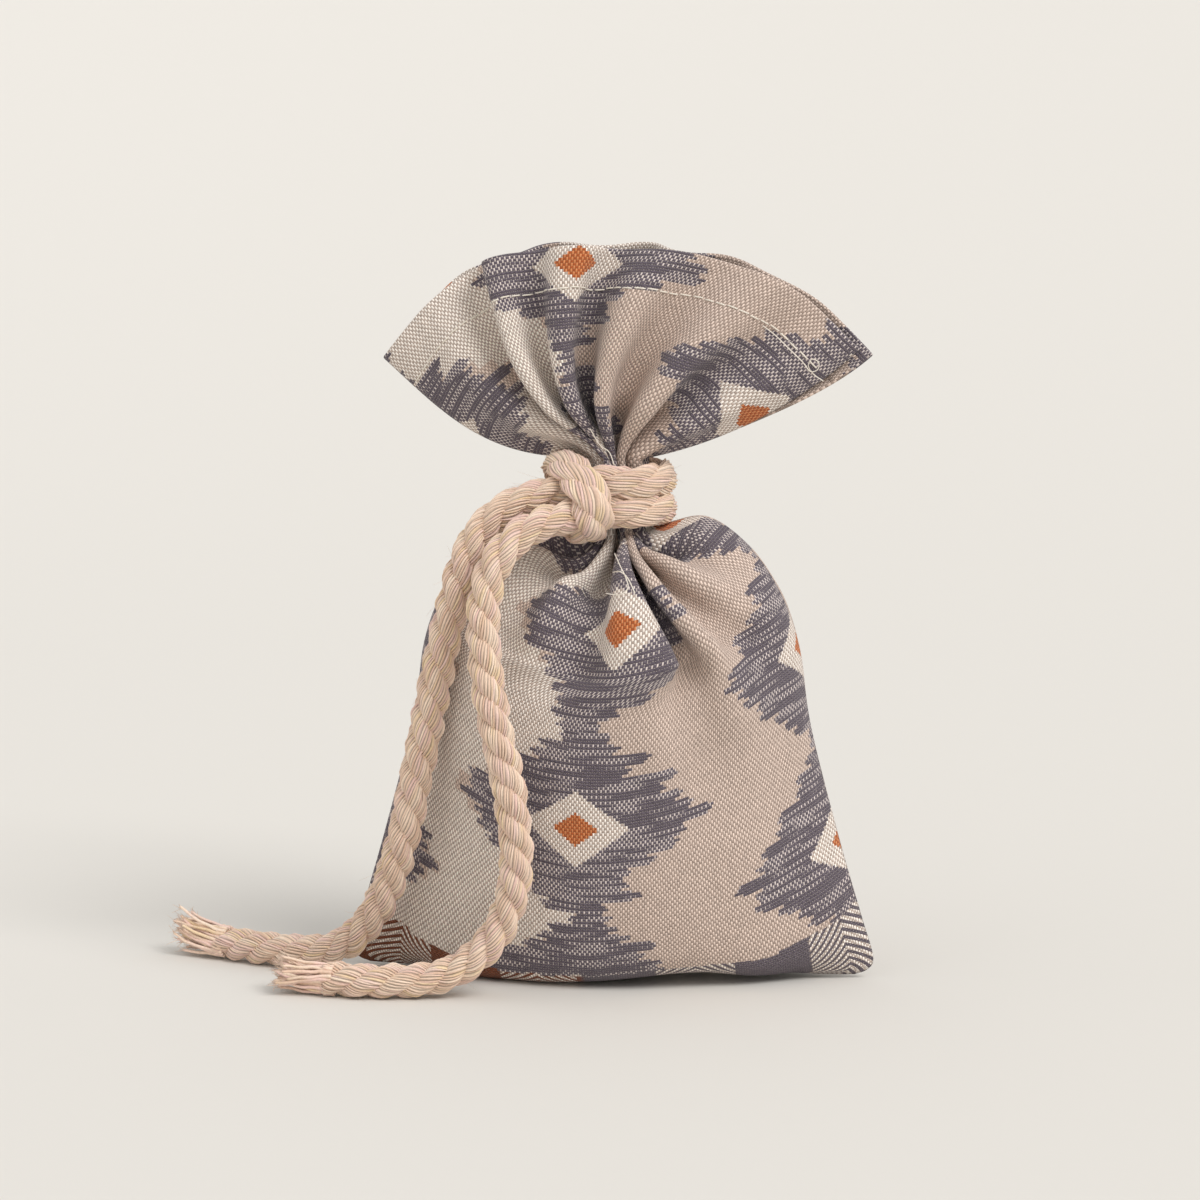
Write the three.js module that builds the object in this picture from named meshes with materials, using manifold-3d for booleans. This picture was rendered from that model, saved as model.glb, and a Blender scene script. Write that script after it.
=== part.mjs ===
// Small fabric pouch, gathered at the neck and tied with a three-strand cotton cord, with a filled sachet inside.
// Millimetres, +Z up. The front faces -Y, and the origin is on the table under the middle of the pouch.
import * as THREE from 'three';
import { mergeVertices } from 'three/addons/utils/BufferGeometryUtils.js';
import Module from 'manifold-3d';

const wasm = await Module();
wasm.setup();

// Cloth
const CLOTH = 0.9; // wall of the woven cloth
const SEAM = 3; // sewn margin along the sides, where the two panels meet
const HEM = 9; // depth of the turned-in hem round the mouth
const GAP = 0.3; // clearance between neighbouring pieces

// Body, from the base to the tie
const BASE_HALF = 57; // half the width between the two bottom corners
const CORNER_LIFT = 0.8; // height of a bottom corner over the table
const CORNER_R = 4; // rounding of a bottom corner
const FLANK_HALF = 43.2; // half the width of the belly
const FLANK_HEIGHT = 55;
const SHOULDER_HALF = 35.6;
const SHOULDER_HEIGHT = 84;
const FOOT_DEPTH = 12; // half the depth of the flat patch that the pouch stands on
const BELLY_DEPTH = 25.4; // half the depth of the filled belly
const BELLY_HEIGHT = 50;

// Neck, under the tie
const NECK_X = 1; // the neck stands a little to the right
const NECK_R = 7.2; // packed radius of the gathered cloth
const NECK_LOW = 97;
const NECK_HIGH = 112.4;

// Frill, from the tie to the mouth
const MOUTH_HEIGHT = 157;
const MOUTH_DEPTH = 6.5; // half the opening between the two layers
const MOUTH_LEFT = [-49, 133]; // x and height of the left corner
const MOUTH_RIGHT = [52.9, 135.7];
const NECK_SPREAD = 1.36; // angle at which the side seam leaves the neck, from the vertical
const MOUTH_SPREAD = 0.84; // angle at which the side seam reaches the mouth
const FRILL_SWELL = 3; // how far the layers belly out half way up

// Folds: where across the cloth (-1 left seam, 1 right seam) at the neck and away from it,
// half width as a share of the cloth, and height in mm; a valley is negative.
const FRILL_FOLDS = [
  { neck: -0.52, far: -0.5, width: 0.09, height: -3.2 },
  { neck: -0.36, far: -0.37, width: 0.1, height: 4.4 },
  { neck: -0.2, far: -0.24, width: 0.08, height: -3.2 },
  { neck: -0.06, far: -0.12, width: 0.09, height: 3.4 },
  { neck: 0.1, far: 0.07, width: 0.1, height: -3.6 },
  { neck: 0.3, far: 0.28, width: 0.13, height: 2.8 },
  { neck: 0.52, far: 0.5, width: 0.12, height: -2.6 },
];
const BODY_FOLDS = [
  { neck: -0.3, far: -0.26, width: 0.11, height: 2.4, reach: 34 },
  { neck: 0.03, far: 0.1, width: 0.09, height: -4.2, reach: 52 },
  { neck: 0.2, far: 0.3, width: 0.09, height: 3.2, reach: 42 },
  { neck: 0.36, far: 0.5, width: 0.09, height: -3.4, reach: 34 },
];
const FOLD_ROOM = 4.5; // what the deepest fold takes from the space inside
const FOLD_START = 2; // distance from the neck where a body fold begins to show
const FOLD_FULL = 14; // distance where it has its full height
const FOLD_TURN = 50; // distance where it has moved across to its lower place
// The dent that the crossing cord presses into the front of the shoulder: middle, radius and depth
const DENT = { x: -6, y: -9.4, radius: 7, depth: 6 };

// Sachet inside
const SACHET_SHEET = 0.4;
const SACHET_ROOM = 1.2; // between the sachet and the cloth
const SACHET_SIDE = 4; // between the sachet and the side seams
const FILL_ROOM = 1; // between the filling and its sachet
const SACHET_TOP = 0.86; // share of the way from the base seam to the neck

// Cord
const CORD = 7.4; // diameter where it hangs free
const TIED_CORD = 5.8; // diameter where it is drawn tight round the neck
const TURN_GAP = 0.5; // between the two turns
const TURN_MID = 105; // height between the two turns
const TURN_R = NECK_R + 1.5 * GAP + TIED_CORD / 2;
const TURN_HIGH = TURN_MID + (TIED_CORD + TURN_GAP) / 2;
const TURN_LOW = TURN_MID - (TIED_CORD + TURN_GAP) / 2;
const TURN_STOP = 150; // angle on the left, in degrees from +X, where the turns leave the ring
// The rest of the noose: each end as it leaves the front under the crossing, from the knot's
// end inwards, and the crossing itself, from the high turn's left end over the front to the low one's.
const REAR_LEAD = [[-13.2, -12, 105.5], [-10.3, -11.3, 106.2], [-7.4, -10.6, 106.9], [-4, -10.4, 107.8]];
const FRONT_LEAD = [[-9.9, -17, 100.7], [-7.4, -15.4, 101.3], [-4.9, -13.8, 101.9], [-2.6, -12, 101.9]];
const CROSSING = [
  [-10.1, 1.4, 109], [-11.4, -3.4, 110.9], [-10.1, -8.2, 112.9], [-7.4, -14.1, 112.8], [-3.9, -17.4, 109.8],
  [-1.5, -18.6, 105.8], [-0.6, -18.7, 101.6], [-1.2, -16.6, 97.4], [-3.4, -12.8, 95.4], [-6.2, -8.9, 96.2],
  [-8.7, -4, 98.4], [-9.4, 1, 100.8],
];
// The free tails, from the knot to the frayed end, where each lies on the table.
const REAR_ROUTE = [
  [-20.7, -14, 102.7], [-25.2, -15.3, 98.8], [-28.9, -16.5, 92.1], [-31.8, -17.1, 82], [-34.6, -17.6, 70],
  [-37, -17.8, 58.4], [-39.7, -17.6, 45], [-42.6, -16.6, 32.6], [-45.9, -14.4, 22.4], [-50, -11.8, 14],
  [-55.6, -9.2, 7.6], [-62.6, -7.2, 4.5], [-70.5, -4.8, 3.7], [-78.5, -1.6, 3.7], [-87, 2.6, 3.7],
];
const FRONT_ROUTE = [
  [-15.8, -20.5, 98.5], [-19.5, -22.6, 95.2], [-22.6, -24, 90], [-23.9, -25.9, 82.3], [-23.4, -27.6, 75.2],
  [-22.4, -29.3, 67], [-20.6, -30.4, 58], [-18.2, -31, 47.6], [-16.6, -31, 36.8], [-16.5, -30.2, 27.6],
  [-18.3, -29.2, 19.4], [-22, -28.6, 12.4], [-27.6, -28.6, 7], [-34.6, -29.4, 4.2], [-42.5, -30.8, 3.7],
  [-51, -30.8, 3.7], [-57.5, -29.6, 3.7],
];
const FRAY = 11; // length of a frayed end
const FRAY_STUB = 2; // length of its root, before the strands part
const FRAY_SPREAD = 0.42; // how far its three strands splay, in radians
const STRAND = CORD / 2.155; // diameter of a strand, when three of them fill the cord

// Facets
const PANEL_COLUMNS = 28;
const BODY_ROWS = 14;
const SHOULDER_ROWS = 9;
const SHOULDER_FROM = 0.78; // share of the way to the neck where the finer rows begin
const FRILL_ROWS = 10;
const SACHET_COLUMNS = 16;
const SACHET_ROWS = 14;
const CORD_SIDES = 10;
const TAIL_STEPS = 40;
const NOOSE_STEPS = 84;

const { lerp, smoothstep, clamp } = THREE.MathUtils;
const bump = (distance) => Math.exp(-distance * distance);

function spline(points) {
  return new THREE.SplineCurve(points.map(([a, b]) => new THREE.Vector2(a, b)));
}

// Half depth and height up the middle of a panel, from the base seam to the neck.
const middleLine = spline([
  [0, 0],
  [0.5 * FOOT_DEPTH, 0],
  [FOOT_DEPTH, 0],
  [lerp(FOOT_DEPTH, BELLY_DEPTH, 0.4), 0.04 * BELLY_HEIGHT],
  [lerp(FOOT_DEPTH, BELLY_DEPTH, 0.68), 0.18 * BELLY_HEIGHT],
  [lerp(FOOT_DEPTH, BELLY_DEPTH, 0.9), 0.5 * BELLY_HEIGHT],
  [BELLY_DEPTH, BELLY_HEIGHT],
  [lerp(BELLY_DEPTH, NECK_R, 0.09), lerp(BELLY_HEIGHT, NECK_LOW, 0.46)],
  [lerp(BELLY_DEPTH, NECK_R, 0.34), lerp(BELLY_HEIGHT, NECK_LOW, 0.76)],
  [lerp(BELLY_DEPTH, NECK_R, 0.66), lerp(BELLY_HEIGHT, NECK_LOW, 0.91)],
  [NECK_R + 2.4, NECK_LOW - 1.2],
  [NECK_R, NECK_LOW],
]);

// Half width and height up the side seam, from the bottom corner to the neck.
const seamLine = spline([
  [BASE_HALF - CORNER_R, CORNER_LIFT],
  [BASE_HALF - 0.3 * CORNER_R, CORNER_LIFT + 0.3 * CORNER_R],
  [BASE_HALF, CORNER_LIFT + CORNER_R],
  [lerp(BASE_HALF, FLANK_HALF, 0.19), 0.25 * FLANK_HEIGHT],
  [lerp(BASE_HALF, FLANK_HALF, 0.55), 0.56 * FLANK_HEIGHT],
  [FLANK_HALF, FLANK_HEIGHT],
  [lerp(FLANK_HALF, SHOULDER_HALF, 0.38), lerp(FLANK_HEIGHT, SHOULDER_HEIGHT, 0.6)],
  [SHOULDER_HALF, SHOULDER_HEIGHT],
  [lerp(SHOULDER_HALF, NECK_R, 0.26), lerp(SHOULDER_HEIGHT, NECK_LOW, 0.7)],
  [lerp(SHOULDER_HALF, NECK_R, 0.56), NECK_LOW + 1.2],
  [NECK_R + 3, NECK_LOW - 0.2],
  [NECK_R, NECK_LOW],
]);

const mouthLine = spline([
  MOUTH_LEFT,
  [lerp(MOUTH_LEFT[0], NECK_X, 0.2), lerp(MOUTH_LEFT[1], MOUTH_HEIGHT, 0.5)],
  [lerp(MOUTH_LEFT[0], NECK_X, 0.42), lerp(MOUTH_LEFT[1], MOUTH_HEIGHT, 0.85)],
  [lerp(MOUTH_LEFT[0], NECK_X, 0.78), MOUTH_HEIGHT],
  [lerp(MOUTH_RIGHT[0], NECK_X, 0.78), MOUTH_HEIGHT - 0.2],
  [lerp(MOUTH_RIGHT[0], NECK_X, 0.5), lerp(MOUTH_RIGHT[1], MOUTH_HEIGHT, 0.86)],
  [lerp(MOUTH_RIGHT[0], NECK_X, 0.24), lerp(MOUTH_RIGHT[1], MOUTH_HEIGHT, 0.57)],
  MOUTH_RIGHT,
]);

// A line's point at a share of its length, moved square to the line towards the inside.
function lineInset(line, share, inset) {
  const p = line.getPointAt(share);
  const t = line.getTangentAt(share);
  return [p.x - inset * t.y, p.y + inset * t.x];
}

function foldHeight(folds, across, away, scaleOf) {
  return folds.reduce((sum, fold) => {
    const at = lerp(fold.neck, fold.far, away);
    return sum + scaleOf(fold) * fold.height * bump((across - at) / fold.width);
  }, 0);
}

// One row of the body: half width, half depth, seam height and middle height at a share of the way to the neck.
function bodyRow(share, wall, margin) {
  const [depth, middle] = lineInset(middleLine, share, wall);
  const [half, seam] = lineInset(seamLine, share, margin);
  return { half, depth: Math.max(depth, 0), middle: Math.max(middle, wall), seam };
}

// Points across a body row, evenly spaced along the cloth, at the given places from -1 to 1.
function acrossBody(share, wall, margin, places) {
  const row = bodyRow(share, wall, margin);
  const sharpness = lerp(0.85, 0.5, smoothstep(share, 0.1, 0.75));
  const flat = 1 - smoothstep(share, 0.06, 0.3);
  const lean = NECK_X * smoothstep(share, 0.6, 1);
  const samples = 64;
  const line = [];
  for (let i = 0; i <= samples; i++) {
    const sine = Math.sin(((i / samples) * 2 - 1) * Math.PI / 2);
    const lifted = lerp(sine * sine, Math.max(0, (Math.abs(sine) - 0.45) / 0.55) ** 2, flat);
    line.push(new THREE.Vector3(
      lean + row.half * sine,
      row.depth * (1 - sine * sine) ** sharpness,
      lerp(row.middle, row.seam, lifted),
    ));
  }
  const lengths = [0];
  for (let i = 1; i <= samples; i++) {
    lengths.push(lengths[i - 1] + line[i].distanceTo(line[i - 1]));
  }
  return places.map((place) => {
    const target = ((place + 1) / 2) * lengths[samples];
    let k = 1;
    while (k < samples && lengths[k] < target) k++;
    const part = (target - lengths[k - 1]) / (lengths[k] - lengths[k - 1]);
    return line[k - 1].clone().lerp(line[k], clamp(part, 0, 1));
  });
}

// Moves a body point out along the fold that crosses it, and down where the cord dents it.
function foldBody(point, share, across, row, facing) {
  const fromNeck = (1 - share) * middleLine.getLength();
  const away = clamp(fromNeck / FOLD_TURN, 0, 1);
  const begun = smoothstep(fromNeck, FOLD_START, FOLD_FULL);
  const height = foldHeight(BODY_FOLDS, across, away, (fold) =>
    begun * (1 - smoothstep(fromNeck, 0.35 * fold.reach, fold.reach)));
  const outward = new THREE.Vector3(
    (point.x - NECK_X) / (row.half * row.half), point.y / Math.max(row.depth * row.depth, 1), 0,
  ).normalize();
  if (facing < 0) {
    const reach = Math.hypot(point.x - DENT.x, point.y + DENT.y) / DENT.radius;
    point.z -= DENT.depth * bump(reach) * smoothstep(share, SHOULDER_FROM, 0.9);
  }
  return point.addScaledVector(outward, height * (1 - across ** 8));
}

function hermite(a, fromA, b, fromB, t) {
  const t2 = t * t;
  const t3 = t2 * t;
  return a.clone().multiplyScalar(2 * t3 - 3 * t2 + 1)
    .addScaledVector(fromA, t3 - 2 * t2 + t)
    .addScaledVector(b, 3 * t2 - 2 * t3)
    .addScaledVector(fromB, t3 - t2);
}

// A point of the frill: across from -1 to 1, up from 0 at the neck to 1 at the mouth.
function frillPoint(across, up) {
  const neck = new THREE.Vector3(
    NECK_X + NECK_R * Math.sin((across * Math.PI) / 2), NECK_R * Math.cos((across * Math.PI) / 2), NECK_HIGH,
  );
  const edge = mouthLine.getPointAt((across + 1) / 2);
  const mouth = new THREE.Vector3(edge.x, MOUTH_DEPTH * (1 - across * across) ** 0.6, edge.y);
  const reach = neck.distanceTo(mouth);
  const lean = Math.sign(across) * Math.abs(across) ** 1.2;
  const leave = new THREE.Vector3(Math.sin(NECK_SPREAD * lean), 0, Math.cos(NECK_SPREAD * lean));
  const arrive = new THREE.Vector3(Math.sin(MOUTH_SPREAD * across), 0, Math.cos(MOUTH_SPREAD * across));
  const point = hermite(neck, leave.multiplyScalar(reach), mouth, arrive.multiplyScalar(reach), up);
  const side = 1 - across ** 6;
  const rise = smoothstep(up, 0, 0.3) * lerp(1, 0.5, up);
  point.y += side * (FRILL_SWELL * Math.sin(Math.PI * up) + foldHeight(FRILL_FOLDS, across, up, () => rise));
  return point;
}

// The closed solid between an outer and an inner grid of points, each indexed [row][column].
function shell(outer, inner) {
  const rows = outer.length;
  const columns = outer[0].length;
  const positions = [...outer, ...inner].flatMap((row) => row.flatMap((p) => [p.x, p.y, p.z]));
  const at = (side, r, c) => (side * rows + r) * columns + c;
  const index = [];
  const quad = (a, b, c, d) => index.push(a, b, c, a, c, d);
  for (let r = 0; r < rows - 1; r++) {
    for (let c = 0; c < columns - 1; c++) {
      quad(at(0, r, c), at(0, r, c + 1), at(0, r + 1, c + 1), at(0, r + 1, c));
      quad(at(1, r, c), at(1, r + 1, c), at(1, r + 1, c + 1), at(1, r, c + 1));
    }
    quad(at(0, r, 0), at(0, r + 1, 0), at(1, r + 1, 0), at(1, r, 0));
    quad(at(0, r, columns - 1), at(1, r, columns - 1), at(1, r + 1, columns - 1), at(0, r + 1, columns - 1));
  }
  for (let c = 0; c < columns - 1; c++) {
    quad(at(0, 0, c), at(1, 0, c), at(1, 0, c + 1), at(0, 0, c + 1));
    quad(at(0, rows - 1, c), at(0, rows - 1, c + 1), at(1, rows - 1, c + 1), at(1, rows - 1, c));
  }
  const geometry = new THREE.BufferGeometry();
  geometry.setAttribute('position', new THREE.Float32BufferAttribute(positions, 3));
  geometry.setIndex(index);
  return geometry;
}

// Turns a panel that was made towards +Y so that it faces front or back, clear of the other one.
function face(point, facing) {
  return new THREE.Vector3(point.x, facing * (point.y + GAP / 2), point.z);
}

function evenly(count, from, to) {
  return Array.from({ length: count + 1 }, (_, i) => lerp(from, to, i / count));
}

// One cloth panel: belly, neck and frill in one sheet, with the hem turned in at the mouth.
function panel(facing) {
  const places = evenly(PANEL_COLUMNS, -1, 1);
  const outer = [];
  const inner = [];
  const shares = [...evenly(BODY_ROWS, 0, SHOULDER_FROM), ...evenly(SHOULDER_ROWS, SHOULDER_FROM, 1).slice(1)];
  for (const share of shares) {
    const row = bodyRow(share, 0, 0);
    const packed = smoothstep(share, 0.84, 0.95); // the gathers fill the inside of the neck
    outer.push(acrossBody(share, 0, 0, places)
      .map((point, i) => foldBody(point, share, places[i], row, facing)));
    inner.push(acrossBody(share, CLOTH, SEAM, places)
      .map((point, i) => foldBody(point, share, places[i], row, facing))
      .map((point) => point.setY(Math.max(0, point.y * (1 - packed)))));
  }
  const length = MOUTH_HEIGHT - NECK_HIGH;
  const hemStart = 1 - HEM / length;
  const steps = [...evenly(FRILL_ROWS - 2, 0, hemStart), hemStart + 0.012, 1];
  for (const up of steps) {
    const wall = up > hemStart ? 2 * CLOTH : CLOTH;
    const opened = smoothstep(up, 0.04, 0.3);
    outer.push(places.map((across) => frillPoint(across, up)));
    inner.push(places.map((across) => {
      const half = lerp(NECK_R, BASE_HALF, up);
      const point = frillPoint(across * (1 - SEAM / half), up);
      const free = 1 - across ** 10;
      return point.setY(Math.max(0, point.y - wall) * opened * free);
    }));
  }
  if (facing > 0) {
    outer.forEach((row) => row.reverse());
    inner.forEach((row) => row.reverse());
  }
  return shell(
    outer.map((row) => row.map((point) => face(point, facing))),
    inner.map((row) => row.map((point) => face(point, facing))),
  );
}

// Points across a row of the sachet, which lies in the space that the panels leave and closes at its top.
function sachetRow(share, depthIn, places) {
  const shoulder = FOLD_ROOM * smoothstep(share, 0.4, 0.62);
  const wall = CLOTH + SACHET_ROOM + depthIn + shoulder;
  const side = SEAM + SACHET_SIDE + depthIn + shoulder;
  const closing = Math.sqrt(Math.max(0, 1 - (share / SACHET_TOP) ** 8));
  return acrossBody(share, wall, side, places)
    .map((point) => point.setY(point.y * closing));
}

function sachetSheet(facing) {
  const places = evenly(SACHET_COLUMNS, -1, 1);
  if (facing > 0) places.reverse();
  const shares = evenly(SACHET_ROWS, 0.03, SACHET_TOP);
  const outer = shares.map((share) => sachetRow(share, 0, places));
  const inner = shares.map((share, i) => {
    const last = i === shares.length - 1;
    return sachetRow(last ? share - 0.012 : Math.max(share, 0.045), SACHET_SHEET, places);
  });
  return shell(
    outer.map((row) => row.map((point) => face(point, facing))),
    inner.map((row) => row.map((point) => face(point, facing))),
  );
}

// The loose filling: one solid inside the sachet, from rings of points round both sides.
function filling() {
  const across = evenly(SACHET_COLUMNS, -1, 1);
  const rings = evenly(SACHET_ROWS, 0.09, 0.84 * SACHET_TOP).map((share) => {
    const row = sachetRow(share, SACHET_SHEET + FILL_ROOM, across);
    const back = row.slice(1, -1).reverse().map((p) => new THREE.Vector3(p.x, p.y, p.z));
    return [...row.map((p) => new THREE.Vector3(p.x, -p.y, p.z)), ...back];
  });
  return loft(rings);
}

// A closed solid through rings with as many points each, capped by fans at both ends.
function loft(rings) {
  const sides = rings[0].length;
  const middle = (ring) => ring.reduce((sum, p) => sum.add(p), new THREE.Vector3()).divideScalar(sides);
  const points = [...rings.flat(), middle(rings[0]), middle(rings[rings.length - 1])];
  const index = [];
  for (let i = 0; i < sides; i++) {
    const j = (i + 1) % sides;
    for (let r = 0; r < rings.length - 1; r++) {
      const a = r * sides;
      const b = a + sides;
      index.push(a + i, a + j, b + j, a + i, b + j, b + i);
    }
    const top = (rings.length - 1) * sides;
    index.push(points.length - 2, j, i, points.length - 1, top + i, top + j);
  }
  const geometry = new THREE.BufferGeometry();
  geometry.setAttribute('position', new THREE.Float32BufferAttribute(points.flatMap((p) => p.toArray()), 3));
  geometry.setIndex(index);
  return geometry;
}

function roundSection(radius, sides) {
  const shape = new THREE.Shape();
  for (let i = 0; i < sides; i++) {
    const angle = (i / sides) * 2 * Math.PI;
    if (i === 0) shape.moveTo(radius, 0);
    else shape.lineTo(radius * Math.cos(angle), radius * Math.sin(angle));
  }
  shape.closePath();
  return shape;
}

function tube(curve, diameter, steps) {
  const shape = roundSection(diameter / 2, CORD_SIDES);
  return new THREE.ExtrudeGeometry(shape, { steps, extrudePath: curve, bevelEnabled: false });
}

function curveThrough(points) {
  return new THREE.CatmullRomCurve3(points, false, 'centripetal');
}

// The noose in one stroke: in under the crossing, round the neck at the high turn, forward over the
// front as the crossing, back under it, round the neck at the low turn and out under the crossing.
function nooseCurve() {
  const ring = (height, from) => evenly(24, from, TURN_STOP).map((degrees) => {
    const angle = THREE.MathUtils.degToRad(degrees);
    return [NECK_X + TURN_R * Math.cos(angle), TURN_R * Math.sin(angle), height];
  });
  const route = [
    ...REAR_LEAD, ...ring(TURN_HIGH, -98), ...CROSSING,
    ...ring(TURN_LOW, -94).reverse(), ...[...FRONT_LEAD].reverse(),
  ];
  return curveThrough(route.map((p) => new THREE.Vector3(...p)));
}

// The least gap between stretches of a curve that are further apart along it than a bend is.
function leastGap(curve, diameter) {
  const steps = 300;
  const points = curve.getSpacedPoints(steps);
  const apart = Math.ceil((1.7 * diameter * steps) / curve.getLength());
  let least = Infinity;
  for (let i = 0; i < steps; i++) {
    for (let j = i + apart; j <= steps; j++) least = Math.min(least, points[i].distanceTo(points[j]));
  }
  return least - diameter;
}

// A free tail, which leaves the noose in line with its lead.
function tailCurve(lead, route) {
  const end = new THREE.Vector3(...lead[0]);
  const out = end.clone().sub(new THREE.Vector3(...lead[1])).normalize();
  const start = [GAP, GAP + 0.4 * CORD].map((reach) => end.clone().addScaledVector(out, reach));
  return curveThrough([...start, ...route.map((p) => new THREE.Vector3(...p))]);
}

// A frayed end: the three strands of the cord part and splay from a short stub.
function frayedEnd(curve) {
  const end = curve.getPoint(1);
  const out = curve.getTangent(1);
  const spin = new THREE.Quaternion().setFromUnitVectors(new THREE.Vector3(0, 0, 1), out);
  const stub = new THREE.CylinderGeometry(CORD / 2, CORD / 2, FRAY_STUB, CORD_SIDES);
  const parts = [stub.rotateX(Math.PI / 2).translate(0, 0, FRAY_STUB / 2)];
  for (let i = 0; i < 3; i++) {
    const angle = (i / 3) * 2 * Math.PI + 0.5;
    const profile = [[0, 0], [0.5, 0], [0.52, 0.6], [0.72, 0.92], [0.6, 1], [0, 1]]
      .map(([r, h]) => new THREE.Vector2(r * STRAND, h * FRAY));
    const lobe = new THREE.LatheGeometry(profile, 8).rotateX(Math.PI / 2);
    lobe.rotateY(FRAY_SPREAD * (i === 0 ? 0.4 : 1)).rotateZ(angle);
    lobe.translate(0.28 * CORD * Math.cos(angle), 0.28 * CORD * Math.sin(angle), FRAY_STUB / 2);
    parts.push(lobe);
  }
  const whole = parts.map(solidOf).reduce((sum, part) => sum.add(part));
  const room = 4 * FRAY; // of the block over the table that the end is cut to
  const aboveTable = solidOf(new THREE.BoxGeometry(room, room, room).translate(end.x, end.y, room / 2));
  const placed = geometryOf(whole).applyQuaternion(spin)
    .translate(end.x + GAP * out.x, end.y + GAP * out.y, end.z + GAP * out.z);
  return geometryOf(solidOf(placed).intersect(aboveTable));
}

function solidOf(geometry) {
  const bare = geometry.clone();
  bare.deleteAttribute('normal');
  bare.deleteAttribute('uv');
  const merged = mergeVertices(bare, 1e-4);
  return new wasm.Manifold(new wasm.Mesh({
    numProp: 3,
    vertProperties: new Float32Array(merged.attributes.position.array),
    triVerts: new Uint32Array(merged.index.array),
  }));
}

function geometryOf(solid) {
  const mesh = solid.getMesh();
  const positions = new Float32Array(mesh.numVert * 3);
  for (let i = 0; i < mesh.numVert; i++) {
    positions.set(mesh.vertProperties.subarray(i * mesh.numProp, i * mesh.numProp + 3), 3 * i);
  }
  const geometry = new THREE.BufferGeometry();
  geometry.setAttribute('position', new THREE.BufferAttribute(positions, 3));
  geometry.setIndex(new THREE.BufferAttribute(mesh.triVerts, 1));
  return geometry;
}

const material = (color, roughness) => new THREE.MeshStandardMaterial({ color, roughness, metalness: 0 });
const printedCloth = material(0xb5a294, 0.95);
const muslin = material(0xe6e0d2, 0.9);
const granules = material(0xa58a62, 1);
const cotton = material(0xd8b99c, 0.9);

const pouch = new THREE.Group();

function add(name, geometry, finish) {
  const mesh = new THREE.Mesh(geometry, finish);
  mesh.name = name;
  geometry.computeVertexNormals();
  pouch.add(mesh);
}

const noose = nooseCurve();
const rearTail = tailCurve(REAR_LEAD, REAR_ROUTE);
const frontTail = tailCurve(FRONT_LEAD, FRONT_ROUTE);

add('front_panel', panel(-1), printedCloth);
add('back_panel', panel(1), printedCloth);
add('sachet_front', sachetSheet(-1), muslin);
add('sachet_back', sachetSheet(1), muslin);
add('filling', filling(), granules);
add('neck_turns', tube(noose, TIED_CORD, NOOSE_STEPS), cotton);
add('tail_rear', tube(rearTail, CORD, TAIL_STEPS), cotton);
add('tail_front', tube(frontTail, CORD, TAIL_STEPS), cotton);
add('frayed_end_rear', frayedEnd(rearTail), cotton);
add('frayed_end_front', frayedEnd(frontTail), cotton);

console.log('tail lengths', rearTail.getLength().toFixed(1), frontTail.getLength().toFixed(1),
  'noose', noose.getLength().toFixed(1));
console.log('least gap of the noose to itself', leastGap(noose, TIED_CORD).toFixed(2));

export default pouch;
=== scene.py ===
"""A small cotton pouch, gathered at the neck and tied with a three-strand cord.

Places and sizes are worked out in millimetres, in the part's own frame, and each mesh is made in metres.
"""
import math

import bpy
import numpy as np
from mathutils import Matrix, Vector


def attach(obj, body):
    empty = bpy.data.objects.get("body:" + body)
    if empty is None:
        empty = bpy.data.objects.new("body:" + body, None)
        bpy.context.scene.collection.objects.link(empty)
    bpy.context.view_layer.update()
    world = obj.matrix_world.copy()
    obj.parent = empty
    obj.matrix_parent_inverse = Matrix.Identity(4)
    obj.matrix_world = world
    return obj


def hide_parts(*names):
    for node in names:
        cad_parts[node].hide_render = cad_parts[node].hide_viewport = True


MM = 0.001
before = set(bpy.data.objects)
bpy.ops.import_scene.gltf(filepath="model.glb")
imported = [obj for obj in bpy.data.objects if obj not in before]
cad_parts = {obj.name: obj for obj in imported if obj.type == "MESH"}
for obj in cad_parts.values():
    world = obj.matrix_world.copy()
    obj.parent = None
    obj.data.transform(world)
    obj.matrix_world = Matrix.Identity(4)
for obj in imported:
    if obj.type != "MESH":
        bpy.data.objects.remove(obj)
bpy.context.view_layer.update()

# The pouch's driving sizes, in millimetres, as the part's source has them. The shoulder and the mouth are a
# little fuller than there, and the dent is shallower, because this cloth carries its folds.
CLOTH = 0.9
GAP = 0.3  # clearance between neighbouring pieces
SEAM, HEM = 3, 9
BASE_HALF, CORNER_LIFT, CORNER_R = 57, 0.8, 4
FLANK_HALF, FLANK_HEIGHT = 43.2, 55
SHOULDER_HALF, SHOULDER_HEIGHT, SHOULDER_RISE = 36.2, 84, 1.5
FOOT_DEPTH, BELLY_DEPTH, BELLY_HEIGHT = 12, 25.4, 50
ARCH_X, ARCH_HALF, ARCH_HEIGHT = 20, 17, 2.6  # where the base lifts off the table
NECK_X, NECK_R, NECK_LOW, NECK_HIGH = 1, 7.2, 97, 112.4
MOUTH_HEIGHT, MOUTH_DEPTH, MOUTH_ROOM = 157, 8, 2.8
MOUTH_LEFT, MOUTH_RIGHT = (-49, 133), (52.9, 135.7)
NECK_SPREAD, MOUTH_SPREAD, FRILL_SWELL = 1.36, 0.84, 3
LEFT_SPREAD, LEFT_PULL = 1.62, 1.35  # the left side seam leaves the neck lower and further
FOLD_ROOM = 4.5
DENT_X, DENT_Y, DENT_RADIUS, DENT_DEPTH = -6, -9.4, 6, 3.8  # where the crossing presses into the front
SACHET_SHEET, SACHET_ROOM, SACHET_SIDE, FILL_ROOM, SACHET_TOP = 0.4, 1.2, 4, 1, 0.86
SACHET_HALF = 50  # half the width of its cut

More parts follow.
